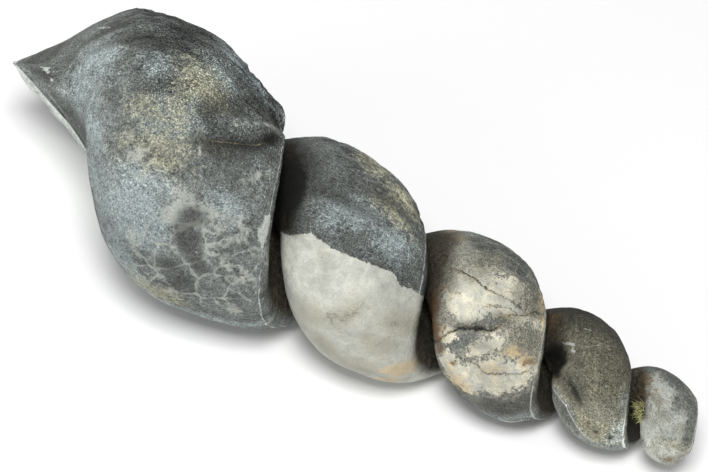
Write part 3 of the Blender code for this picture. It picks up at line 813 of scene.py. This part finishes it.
class Recipe:
    """One material, and short calls that add a node to its tree and return an output socket."""

    def __init__(self, name):
        self.material = bpy.data.materials.new(name)
        self.material.use_nodes = True
        self.tree = self.material.node_tree
        self.shader = self.tree.nodes["Principled BSDF"]
        self.place = self.add("TexCoord").outputs["Object"]

    def add(self, kind, inputs=None, **settings):
        """A node of a kind. Each input is a number, a colour or another node's socket."""
        step = self.tree.nodes.new("ShaderNode" + kind)
        for name, value in settings.items():
            setattr(step, name, value)
        for name, value in (inputs or {}).items():
            if isinstance(value, bpy.types.NodeSocket):
                self.tree.links.new(value, step.inputs[name])
            else:
                step.inputs[name].default_value = value
        return step

    def read(self, name):
        """The mesh's own value of that name."""
        return self.add("Attribute", attribute_name=name).outputs["Fac"]

    def math(self, operation, *values):
        """One sum on numbers or sockets."""
        return self.add("Math", dict(enumerate(values)), operation=operation).outputs[0]

    def sum(self, *values):
        """All the values added up."""
        total = values[0]
        for value in values[1:]:
            total = self.math("ADD", total, value)
        return total

    def times(self, *values):
        """All the values multiplied."""
        total = values[0]
        for value in values[1:]:
            total = self.math("MULTIPLY", total, value)
        return total

    def rise(self, value, low, high, start=0.0, end=1.0):
        """A smooth step: start where the value is low, end where it is high."""
        inputs = {"Value": value, "From Min": low, "From Max": high, "To Min": start, "To Max": end}
        step = self.add("MapRange", inputs, interpolation_type="SMOOTHSTEP")
        return step.outputs["Result"]

    def cloud(self, size_mm, detail=3.0, roughness=0.55, warp=0.0, at=None, per_mm=1000.0):
        """Noise about 0, mostly between -1 and 1, with lumps of a size in millimetres."""
        inputs = {
            "Vector": at or self.place, "Scale": per_mm / size_mm, "Detail": detail,
            "Roughness": roughness, "Distortion": warp,
        }
        noise = self.add("TexNoise", inputs, noise_dimensions="3D").outputs["Fac"]
        return self.math("MULTIPLY_ADD", noise, 4.0, -2.0)

    def over(self, share, under, colour):
        """A colour laid over another by a share."""
        step = self.add("Mix", {0: share}, data_type="RGBA", clamp_factor=True)
        for socket, value in ((step.inputs[6], under), (step.inputs[7], colour)):
            if isinstance(value, bpy.types.NodeSocket):
                self.tree.links.new(value, socket)
            else:
                socket.default_value = (*value, 1.0)
        return step.outputs[2]

    def lighten(self, colour, factor):
        """A colour made lighter or darker by a factor."""
        return self.add("VectorMath", {0: colour, "Scale": factor}, operation="SCALE").outputs[0]


print("node helper ready")

# %% [markdown]
# ## Crystals and veins
# Limestone is a mass of crystals, and its old cracks are healed with calcite. Both come from a
# cell texture, which shares space out among chance points: the way to the nearest point makes
# grains, and the border between two cells makes a vein. Noise bends the borders first.

# %% Helper for crystals and veins


class StoneRecipe(Recipe):
    """A recipe that also knows crystals and nets of veins."""

    def grains(self, size_mm):
        """Crystals of a size in millimetres: the way to the nearest one's middle, in sizes, and
        a chance number from 0 to 1 that is the crystal's own."""
        inputs = {"Vector": self.place, "Scale": 1000.0 / size_mm}
        cells = self.add("TexVoronoi", inputs, feature="F1")
        chance = self.add("SeparateColor", {0: cells.outputs["Color"]}).outputs[0]
        return cells.outputs["Distance"], chance

    def net(self, cell_mm, half_width_mm, warp_mm):
        """1 on the winding borders between cells of a size, 0 beyond half a width from them."""
        inputs = {"Vector": self.place, "Scale": 2200.0 / cell_mm, "Detail": 3.0, "Roughness": 0.6}
        moves = self.add("TexNoise", inputs).outputs["Color"]
        step = {0: moves, 1: [0.002 * warp_mm] * 3, 2: self.place}
        moved = self.add("VectorMath", step, operation="MULTIPLY_ADD").outputs[0]
        inputs = {"Vector": moved, "Scale": 1000.0 / cell_mm}
        cells = self.add("TexVoronoi", inputs, feature="DISTANCE_TO_EDGE")
        edge = half_width_mm / cell_mm
        return self.rise(cells.outputs["Distance"], edge, 0.2 * edge)


print("stone helper ready")

# %% [markdown]
# ## Limestone: the ground
# The stone is built up as it weathered. First comes the ground, a blue-grey limestone that is
# charcoal, brown or bleached on some whorls, with a painted highlight and bluish reflection on the
# front of the last whorl. Four noises, from lumps of 10 mm down to grit of a third of a millimetre,
# serve every step that follows. Mixed with one another, they also move the edge of each patch, so
# that none shows its ellipse.

# %% Stone noises and patch edges
BROAD_MM, MIDDLE_MM, SMALL_MM, GRITTY_MM = 10.0, 3.0, 1.1, 0.36
PATCH_EDGES = {     # millimetres that noise moves the edge, its softness in millimetres, strength
    "bleached_and_highlight": (2.0, 6.0, 0.80), "slate": (1.2, 1.8, 0.85), "olive": (2.6, 7.0, 1.00),
    "milky": (1.1, 1.8, 1.00), "pale": (1.2, 0.9, 0.92), "cream": (0.35, 0.3, 1.00),
    "beige": (1.8, 5.0, 0.80), "taupe": (1.4, 2.4, 0.70), "tan": (1.4, 2.6, 0.75),
    "mud_and_shade": (1.0, 2.6, 0.64), "chalk": (0.22, 0.3, 0.85), "black_shade": (0.5, 1.1, 0.85),
    "rust": (0.7, 1.6, 1.00),
}

lime = StoneRecipe("weathered_limestone")
broad = lime.cloud(BROAD_MM, 4.0, 0.55)
middle = lime.cloud(MIDDLE_MM, 4.0, 0.62, 0.5)
small = lime.cloud(SMALL_MM, 3.0, 0.70)
gritty = lime.cloud(GRITTY_MM, 2.0, 0.75)
ragged = lime.sum(middle, small)
speckly = lime.sum(small, gritty)


def patch_share(name, wobble):
    """1 inside the named patches, 0 outside: the edge runs where the depth inside the patch plus
    the moving noise crosses 0."""
    moved_mm, soft_mm, _ = PATCH_EDGES[name]
    depth = lime.sum(lime.read("stain_" + name), lime.times(wobble, moved_mm))
    return lime.rise(depth, -soft_mm / 2, soft_mm / 2)


def stained(colour, name, tint, wobble, strength=None):
    """Lay a tint over the colour inside the named patches."""
    share = lime.times(patch_share(name, wobble), strength or PATCH_EDGES[name][2])
    return lime.over(share, colour, tint)


print("patch edges:", len(PATCH_EDGES))

# %% Ground colours
BLUE_GREY = (0.212, 0.232, 0.222)
MID_GREY = (0.112, 0.121, 0.113)
CHARCOAL_GREY = (0.082, 0.088, 0.083)
BROWN_GREY = (0.150, 0.143, 0.100)
WEATHERED_GREY = (0.350, 0.342, 0.280)
# Bleached stone, also the painted highlight and bluish reflection on the last whorl.
PALE_BLUE_AND_HIGHLIGHT = (0.320, 0.377, 0.375)
SLATE = (0.130, 0.140, 0.130)

mixed = lime.rise(lime.sum(broad, lime.times(middle, 0.7)), -1.1, 1.1)
ground = lime.over(mixed, MID_GREY, BLUE_GREY)
ground = lime.over(lime.read("charcoal"), ground, CHARCOAL_GREY)
ground = lime.over(lime.read("brown"), ground, BROWN_GREY)
ground = lime.over(lime.read("weathered"), ground, WEATHERED_GREY)
ground = stained(ground, "bleached_and_highlight", PALE_BLUE_AND_HIGHLIGHT, lime.sum(middle, lime.times(speckly, 0.4)))
ground = stained(ground, "slate", SLATE, lime.sum(middle, lime.times(speckly, 0.3)))
print("node kinds so far:", len({node.bl_idname for node in lime.tree.nodes}))

# %% [markdown]
# ## Limestone: grain
# From a step away the stone looks peppered: dark grit, pits, and crystals that catch the light.
# The body whorl also has a yellowish crystalline bloom and a skin of pebbly grains, and its
# crust is combed into furrows. Each is a factor on the ground's colour, worked out from noise or
# from cells, and all are multiplied together.

# %% Grain: grit, pebbles and furrows
OLIVE = (0.430, 0.415, 0.285)
CRYSTAL_MM, PEBBLE_MM, SPECK_MM = 0.42, 0.55, 1.9
BRUSHED_PER_TURN, BRUSHED_PER_ALONG = 30.0, 60.0
FURROW_MM, FURROW_STRETCH = 3.4, 0.3
_, crystal = lime.grains(CRYSTAL_MM)
pebble_way, pebble = lime.grains(PEBBLE_MM)
speck_way, speck = lime.grains(SPECK_MM)

bloom = lime.rise(lime.sum(speckly, pebble), -0.9, 1.3, 0.35, 0.75)
yellow = lime.times(patch_share("olive", ragged), bloom)
plain = lime.over(yellow, ground, OLIVE)


def unrolled_cloud(per_turn, per_along, *noise):
    """Noise on the unrolled tube, so that it can be drawn out along the whorl or across it."""
    place = {0: lime.times(lime.read("turn"), per_turn), 1: lime.times(lime.read("along"), per_along)}
    return lime.cloud(*noise, at=lime.add("CombineXYZ", place).outputs[0], per_mm=1.0)


brushed = unrolled_cloud(BRUSHED_PER_TURN, BRUSHED_PER_ALONG, 2.2, 4.0, 0.65, 0.4)
streaks = lime.math("MULTIPLY_ADD", brushed, lime.rise(lime.read("brown"), 0.0, 1.0, 0.06, 0.42), 1.0)
domes = lime.rise(pebble_way, 0.62, 0.20, -0.45, 0.55)
pebbled = lime.math("MULTIPLY_ADD", lime.read("pebbles"), domes, 1.0)
combed = unrolled_cloud(MM_PER_TURN, FURROW_STRETCH * MM_PER_ALONG, FURROW_MM, 2.5, 0.7, 0.6)
furrows = lime.times(lime.rise(combed, 0.35, -0.75), lime.read("crust"))
furrowed = lime.math("MULTIPLY_ADD", furrows, -0.80, 1.14)
coarse = lime.times(lime.read("coarse"), lime.rise(yellow, 0.1, 0.6, 1.0, 0.72))
peppered = lime.math("MULTIPLY_ADD", lime.rise(gritty, -0.9, 0.9, -0.62, 0.62), coarse, 1.0)
mottled = lime.rise(small, -1.3, 1.3, 0.72, 1.28)
grain = lime.times(peppered, mottled)
colour = lime.lighten(plain, lime.times(grain, streaks, pebbled, furrowed))
print("nodes:", len(lime.tree.nodes))

# %% Grain: crystals and pits
MILKY = (0.450, 0.470, 0.425)
LIT_FACTOR, PIT_FACTOR = 2.1, 0.30
WEATHERED_SMOOTHING = 0.42

bright = lime.rise(ragged, -1.5, 1.0, 0.25, 0.85)
lit = lime.times(lime.rise(crystal, 0.76, 0.98), bright, coarse, 0.5)
colour = lime.over(lit, colour, lime.lighten(colour, LIT_FACTOR))
pitted = lime.rise(ragged, 1.2, -1.2, 0.3, 1.0)
pits = lime.times(lime.rise(crystal, 0.28, 0.06), pitted, 0.65)
colour = lime.over(pits, colour, lime.lighten(colour, PIT_FACTOR))
smoothed = lime.times(lime.read("weathered"), WEATHERED_SMOOTHING)
colour = lime.over(smoothed, colour, lime.lighten(plain, mottled))
clouded = lime.times(lime.rise(gritty, -1.0, 1.0, 0.78, 1.22), lime.rise(middle, -1.0, 1.0, 0.90, 1.14))
milk_strength = lime.rise(speckly, 1.2, -0.8, 0.55, 1.0)
colour = stained(colour, "milky", lime.lighten(MILKY, clouded), ragged, milk_strength)
print("nodes:", len(lime.tree.nodes))

# %% [markdown]
# ## Limestone: pale mineral
# Calcite has filled old cracks with a net of thin milky veins, and it lies as a smooth cream skin
# on the second and third whorls. The veins are the winding borders between cells. The skin covers
# the grain, so it goes on after it, with a fine crackle where it is thin.

# %% Veins and cream skin
CREAM = (0.500, 0.506, 0.448)
WARM_CREAM = (0.670, 0.630, 0.480)
TAUPE = (0.200, 0.197, 0.155)
VEIN_CELL_MM, VEIN_HALF_MM, VEIN_WARP_MM = 7.0, 0.46, 1.9
CRACKLE_CELL_MM, CRACKLE_HALF_MM, CRACKLE_WARP_MM = 4.0, 0.12, 1.6
VEINS_FADE_MM = 4.0

veins = lime.times(
    lime.net(VEIN_CELL_MM, VEIN_HALF_MM, VEIN_WARP_MM),
    lime.rise(lime.read("stain_veined"), 0.0, VEINS_FADE_MM),
    lime.rise(middle, -1.0, 0.5, 0.15, 0.90),
)
colour = lime.over(veins, colour, MILKY)
soft_mottle = lime.rise(lime.sum(broad, middle, lime.times(small, 0.4)), -1.4, 1.4, 0.78, 1.16)
cream = lime.over(lime.rise(broad, 0.2, 1.4, 0.0, 0.5), CREAM, WARM_CREAM)
cream_skin = patch_share("cream", lime.sum(small, lime.times(gritty, 0.4)))
colour = lime.over(cream_skin, colour, lime.lighten(cream, soft_mottle))
warmer = lime.over(lime.rise(middle, -0.8, 0.8), CREAM, WARM_CREAM)
pale_skin = patch_share("pale", lime.sum(ragged, lime.times(gritty, 0.4)))
pale_strength = lime.times(pale_skin, PATCH_EDGES["pale"][2])
colour = lime.over(pale_strength, colour, lime.lighten(warmer, soft_mottle))
smooth = lime.math("MAXIMUM", lime.times(pale_skin, 0.9), cream_skin)
crackle = lime.times(
    lime.net(CRACKLE_CELL_MM, CRACKLE_HALF_MM, CRACKLE_WARP_MM), pale_skin,
    lime.rise(middle, -0.4, 0.6), 0.7,
)
colour = lime.over(crackle, colour, TAUPE)
print("nodes:", len(lime.tree.nodes))

# %% [markdown]
# ## Limestone: stains
# Tan, taupe, mud with painted shade, and chalk lie over both the grain and the skin. The dark tints
# are multiplied by the grain, so that mud and painted shade darken the stone without hiding how it
# sparkles.

# %% Tan, taupe, mud with painted shade, and chalk
BEIGE = (0.365, 0.355, 0.285)
TAN = (0.620, 0.490, 0.290)
# Mud, also used as painted shade in the dent, the crease and the cracks.
MUD_AND_SHADE = (0.048, 0.048, 0.041)
CHALK = (0.600, 0.620, 0.585)

colour = stained(colour, "beige", BEIGE, middle)
colour = stained(colour, "taupe", lime.lighten(TAUPE, grain), ragged)
colour = stained(colour, "tan", TAN, ragged)
mud_and_shade_wobble = lime.sum(middle, lime.times(speckly, 0.7))
colour = stained(colour, "mud_and_shade", lime.lighten(MUD_AND_SHADE, grain), mud_and_shade_wobble)
colour = stained(colour, "chalk", CHALK, ragged)
print("nodes:", len(lime.tree.nodes))

# %% [markdown]
# ## Limestone: cracks and knocked edges
# The third whorl is cracked right across, with mud and painted shade in the cracks and a tan stain
# beside them, and hair-thin white scratches and worn edges run over the others. A broad band of
# painted shade lies along the fold's crease on the last whorl. Each is drawn along its line, with a
# wavering course.

# %% Cracks and scratches
LINE_CORE = 0.3         # share of a line's half width that has its full strength
LINE_END_FADE = 0.02    # along


def drawn(colour, name, tint, half_width_mm, strength, span, wobble):
    """Draw a named line in a tint, between two values of along, and not in the gaps, which hold dirt
    and painted shade.
    """
    offset = lime.math("ABSOLUTE", lime.sum(lime.read("line_" + name), wobble))
    line = lime.rise(offset, half_width_mm, half_width_mm * LINE_CORE)
    along_here = lime.read("along")
    within = lime.times(
        lime.rise(along_here, span[0] - LINE_END_FADE, span[0] + LINE_END_FADE),
        lime.rise(along_here, span[1] + LINE_END_FADE, span[1] - LINE_END_FADE),
        lime.rise(lime.read("gap"), 0.6, 0.2),
    )
    return lime.over(lime.times(line, within, strength), colour, tint)


sway = lime.times(small, 0.22)
faint_sway = lime.times(small, 0.08)
jagged = lime.sum(lime.times(small, 0.58), lime.times(gritty, 0.24))
halo = lime.rise(middle, -0.3, 0.7, 0.0, 0.65)
patchy = lime.rise(middle, -0.5, 0.5, 0.15, 0.55)
DRAWN_LINES = (     # line, tint, half width in millimetres, strength, span of along, wavering
    ("main_crack", TAN, 0.75, halo, (0.04, 0.90), jagged),
    ("upper_crack", TAN, 0.75, halo, (0.30, 0.80), jagged),
    ("middle_crack", TAN, 0.75, halo, (0.26, 0.54), jagged),
    ("lower_crack", TAN, 0.75, halo, (0.09, 0.66), jagged),
    ("main_crack", MUD_AND_SHADE, 0.42, 0.96, (0.42, 0.80), jagged),
    ("main_crack", MUD_AND_SHADE, 0.25, 0.90, (0.04, 0.92), jagged),
    ("upper_crack", MUD_AND_SHADE, 0.36, 0.92, (0.53, 0.80), jagged),
    ("upper_crack", MUD_AND_SHADE, 0.20, 0.75, (0.22, 0.60), jagged),
    ("middle_crack", MUD_AND_SHADE, 0.19, 0.75, (0.26, 0.54), jagged),
    ("lower_crack", MUD_AND_SHADE, 0.21, 0.80, (0.09, 0.66), jagged),
    # Painted shade along the crease under the fold.
    ("crease", MUD_AND_SHADE, 1.50, 0.55, (0.00, 0.30), jagged),
    ("crease", TAN, 0.16, patchy, (0.05, 0.32), sway),
    ("hairline", CHALK, 0.13, patchy, (0.42, 0.78), sway),
    ("scratch", CHALK, 0.12, 0.50, (0.20, 0.60), faint_sway),
    ("recess_rim", CHALK, 0.14, 0.50, (0.69, 0.90), sway),
    ("facet", CHALK, 0.18, 0.40, (0.28, 0.85), sway),
)
for row in DRAWN_LINES:
    colour = drawn(colour, *row)
print("nodes:", len(lime.tree.nodes))

# %% Knocked edges and white dots
EDGE_FAR_MM, EDGE_NEAR_MM = 0.32, 0.10

knocked = lime.math("ABSOLUTE", lime.sum(lime.read("from_edge"), lime.times(small, 0.25)))
off_skin = lime.rise(smooth, 0.0, 0.8, 0.85, 0.15)
broken_up = lime.rise(middle, -0.7, 0.2)
chipped = lime.times(lime.rise(knocked, EDGE_FAR_MM, EDGE_NEAR_MM), broken_up, off_skin)
colour = lime.over(chipped, colour, CHALK)
dots = lime.times(lime.rise(speck_way, 0.16, 0.08), lime.rise(speck, 0.84, 0.88), 0.7)
colour = lime.over(dots, colour, CHALK)
print("nodes:", len(lime.tree.nodes))

# %% [markdown]
# ## Limestone: painted shade, dirt and the broken face
# Hollows are painted a little darker than crests, as shade, and each whorl has its own brightness,
# partly painted shade and light. Dirt and painted shade gather in the gaps, brown on the small
# whorls and almost black elsewhere. The broken face goes on last, because it is clean: nearly white
# at its rim and greyer inside.

# %% Painted shade and dirt
# Painted shade: near-black for the deep gaps and hollows, mixed with brown earth on some whorls.
SHADE_BLACK = (0.009, 0.009, 0.007)
GAP_EARTH = (0.074, 0.064, 0.043)
RUST = (0.150, 0.080, 0.030)

# Painted shade: the hollows of the relief are darker than its crests.
painted_hollow_shade = lime.rise(lime.read("relief"), -0.6, 0.5, 0.72, 1.20)
fine = lime.rise(gritty, -1.2, 1.2, 0.86, 1.14)
colour = lime.lighten(colour, lime.times(fine, painted_hollow_shade, lime.read("tone_and_shade")))
# Dirt and painted shade: the gaps between whorls turn brown or nearly black.
dirt_and_shade = lime.rise(lime.sum(lime.read("gap"), lime.times(ragged, 0.10)), 0.10, 0.85)
crumbly = lime.rise(speckly, -1.0, 1.8, 0.45, 3.0)
earth_and_shade_colour = lime.lighten(lime.over(lime.read("gap_brown"), SHADE_BLACK, GAP_EARTH), crumbly)
colour = lime.over(dirt_and_shade, colour, earth_and_shade_colour)
colour = stained(colour, "black_shade", SHADE_BLACK, ragged)
rust_strength = lime.rise(speckly, -1.0, 1.0, 0.45, 0.95)
colour = stained(colour, "rust", RUST, ragged, rust_strength)
print("nodes:", len(lime.tree.nodes))

# %% Broken face
BROKEN_STONE = (0.800, 0.840, 0.795)
BROKEN_EDGE = 0.04      # share of the way in from the rim at which the break has its full colour

way_in = lime.read("broken")
greyer = lime.rise(way_in, 0.30, 0.70, 1.06, 0.84)
fresh = lime.times(lime.rise(gritty, -1.0, 1.0, 0.82, 1.14), mottled, soft_mottle, greyer)
on_break = lime.rise(way_in, 0.0, BROKEN_EDGE)
colour = lime.over(on_break, colour, lime.lighten(BROKEN_STONE, fresh))
lime.tree.links.new(colour, lime.shader.inputs["Base Color"])
print("nodes:", len(lime.tree.nodes))

# %% [markdown]
# ## Limestone: bump and sheen
# Last, the noises that colour the grain also tilt the surface a little, less on the smooth cream
# skin. Lumps that show in the outline are in the mesh already, so the bump is only a third of a
# millimetre. The stone is matt, a little less so on its crests.

# %% Bump, roughness and the finished piece
BUMP_METRES = 0.00030
SKIN_BUMP = 0.35        # how much of the bump is left on the cream skin
SPECULAR = 0.20

bumps = lime.sum(
    lime.times(gritty, 0.35), lime.times(small, 0.6), lime.times(pits, -0.8),
    lime.times(lime.read("pebbles"), lime.rise(pebble_way, 0.62, 0.20), 1.2),
    lime.times(lime.read("crust"), middle, 2.0), lime.times(furrows, -4.0),
)
bumps = lime.times(bumps, lime.rise(smooth, 0.0, 1.0, 1.0, SKIN_BUMP))
height = lime.sum(lime.times(middle, 0.3), bumps)
bump = lime.add("Bump", {"Height": height, "Strength": 1.0, "Distance": BUMP_METRES})
lime.tree.links.new(bump.outputs[0], lime.shader.inputs["Normal"])
lime.tree.links.new(lime.rise(small, -1.0, 1.0, 0.62, 0.82), lime.shader.inputs["Roughness"])
lime.shader.inputs["Specular IOR Level"].default_value = SPECULAR

stone_mesh.materials.append(lime.material)
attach(stone, BODY)
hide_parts(CAD_NODE)
print("limestone nodes:", len(lime.tree.nodes))

# %% [markdown]
# ## A tuft of moss
# Where the two smallest whorls meet, a pinch of moss has taken root. Each strand is a thin tapering
# tube with three sides that leaves the stone along the surface's direction and bends over. Its
# root is one of the skin's own points, so every strand is sure to touch the stone.

# %% Grow the moss
STRANDS, STRAND_RINGS = 160, 7
MOSS_TURNS, MOSS_ALONG = (-4.06, -3.96), (0.76, 0.90)
STRAND_MM, STRAND_WIDE_MM = (0.5, 1.3), 0.12
SPREAD, CURL, DROOP = 0.55, 0.5, 0.25
STRAND_SIDES = 3
ROOT_DEPTH = 0.15           # share of a strand's length that is inside the stone


def moss_strands(roots, outward, chance):
    """Grid (strand, ring, side): the middle line is root + outward x length x t + bend x t^2,
    and the side goes round it at a radius that shrinks as 1 - t."""
    t = np.linspace(-ROOT_DEPTH, 1, STRAND_RINGS)[:, None, None]
    length = 0.001 * chance.uniform(*STRAND_MM, (len(roots), 1, 1, 1))
    lean = (outward + chance.normal(0, SPREAD, roots.shape))[:, None, None]
    bend = (chance.normal(0, CURL, roots.shape) - (0, 0, DROOP))[:, None, None]
    middle_line = roots[:, None, None] + length * (lean * t + bend * t ** 2)
    angle = np.arange(STRAND_SIDES) * 2 * math.pi / STRAND_SIDES
    ring = np.stack([np.cos(angle), np.sin(angle), 0 * angle], axis=-1)
    return middle_line + ring * 0.0005 * STRAND_WIDE_MM * (1.05 - t)


chance = np.random.default_rng(11)
mossy = (turn > MOSS_TURNS[0]) & (turn < MOSS_TURNS[1]) & (out > 0.3)
mossy &= (along > MOSS_ALONG[0]) & (along < MOSS_ALONG[1])
picked = chance.choice(np.flatnonzero(mossy), STRANDS)
outward = surface_directions(skin).reshape(-1, 3)[picked]
strands = moss_strands(skin.reshape(-1, 3)[picked], outward, chance)
print("moss strands:", STRANDS, "of", int(mossy.sum()), "roots to choose from")

# %% Moss as one mesh
# Painted light: the green is far lighter than moss, so that the tuft shows in the shade of the gap.
MOSS_GREEN_PAINTED_LIGHT = (0.780, 0.780, 0.340)
MOSS_MOTTLE_MM = 0.8
MOSS_ROUGHNESS = 0.8

index = np.arange(strands.size // 3).reshape(STRANDS, STRAND_RINGS, STRAND_SIDES)
after = np.roll(index, -1, axis=2)
sides = np.stack([index[:, :-1], after[:, :-1], after[:, 1:], index[:, 1:]], axis=-1).reshape(-1, 4)
moss_mesh = bpy.data.meshes.new("moss")
ends = index[:, 0, ::-1].tolist() + index[:, -1].tolist()
moss_mesh.from_pydata(strands.reshape(-1, 3), [], sides.tolist() + ends)
moss_mesh.shade_smooth()
green = Recipe("moss_green_painted_light")
shade = green.lighten(MOSS_GREEN_PAINTED_LIGHT, green.rise(green.cloud(MOSS_MOTTLE_MM), -1.0, 1.0, 0.5, 1.5))
green.tree.links.new(shade, green.shader.inputs["Base Color"])
green.shader.inputs["Roughness"].default_value = MOSS_ROUGHNESS
moss_mesh.materials.append(green.material)
moss = bpy.data.objects.new("moss", moss_mesh)
bpy.context.scene.collection.objects.link(moss)
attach(moss, BODY)
print("moss triangles:", sum(len(polygon.vertices) - 2 for polygon in moss_mesh.polygons))

# %% [markdown]
# ## Camera
# The camera looks down on the stone from the front, from 0.85 metres away through a long lens,
# so that near and far whorls keep their proportions. It is rolled a little, which lays the coil
# along the diagonal of the render.

# %% Set up the camera
CAMERA_PLACE = (0.1270, -0.5106, 0.6946)
LOOKS_AT = (0.0012, 0.0008, 0.0300)
CAMERA_ROLL = math.radians(11.56)
LENS_MM = 172.9

camera = bpy.data.objects.new("camera", bpy.data.cameras.new("camera"))
bpy.context.scene.collection.objects.link(camera)
way = Vector(LOOKS_AT) - Vector(CAMERA_PLACE)
level = way.to_track_quat("-Z", "Y").to_matrix().to_4x4()
camera.matrix_world = Matrix.Translation(CAMERA_PLACE) @ level @ Matrix.Rotation(CAMERA_ROLL, 4, "Z")
camera.data.lens = LENS_MM
bpy.context.scene.camera = camera
print("camera distance in metres:", round(way.length, 3))

# %% [markdown]
# ## Floor and light
# The fossil lies on a seamless white sheet. A square lamp overhead, a little to the front, lights
# the upper sides and gives the soft shadow at the foot. A weak one from the front left models the
# whorls, and the pale world fills in.

# %% Set up the floor
FLOOR_SIZE = 6.0
FLOOR_WHITE = (0.93, 0.93, 0.93)
FLOOR_ROUGHNESS = 0.9


def plain_floor():
    """One large square at ground height, in matt white."""
    half = FLOOR_SIZE / 2
    corners = [(-half, -half, 0), (half, -half, 0), (half, half, 0), (-half, half, 0)]
    mesh = bpy.data.meshes.new("floor")
    mesh.from_pydata(corners, [], [(0, 1, 2, 3)])
    sheet = Recipe("white_sheet")
    sheet.shader.inputs["Base Color"].default_value = (*FLOOR_WHITE, 1.0)
    sheet.shader.inputs["Roughness"].default_value = FLOOR_ROUGHNESS
    mesh.materials.append(sheet.material)
    floor = bpy.data.objects.new("floor", mesh)
    bpy.context.scene.collection.objects.link(floor)
    return floor


plain_floor()
print("floor in metres:", FLOOR_SIZE)

# %% Set up the lamps and the world
WORLD_LIGHT = 0.35
LAMPS = (       # name, place, aim, size in metres, watts
    ("overhead_lamp", (0.05, -0.45, 1.15), (0, 0, 0), 0.4, 13),
    ("front_lamp", (-0.7, -0.75, 0.42), (0, 0, 0.03), 0.6, 2),
)


def soft_lamp(name, place, aim, size, watts):
    """A square area lamp at a place, turned towards its aim."""
    lamp = bpy.data.lights.new(name, "AREA")
    lamp.size = size
    lamp.energy = watts
    thing = bpy.data.objects.new(name, lamp)
    thing.location = place
    thing.rotation_euler = (Vector(aim) - Vector(place)).to_track_quat("-Z", "Y").to_euler()
    bpy.context.scene.collection.objects.link(thing)


for lamp in LAMPS:
    soft_lamp(*lamp)
world = bpy.data.worlds.new("studio")
world.use_nodes = True
world.node_tree.nodes["Background"].inputs["Strength"].default_value = WORLD_LIGHT
world.node_tree.nodes["Background"].inputs["Color"].default_value = (1, 1, 1, 1)
bpy.context.scene.world = world
bpy.context.scene.view_settings.view_transform = "Standard"
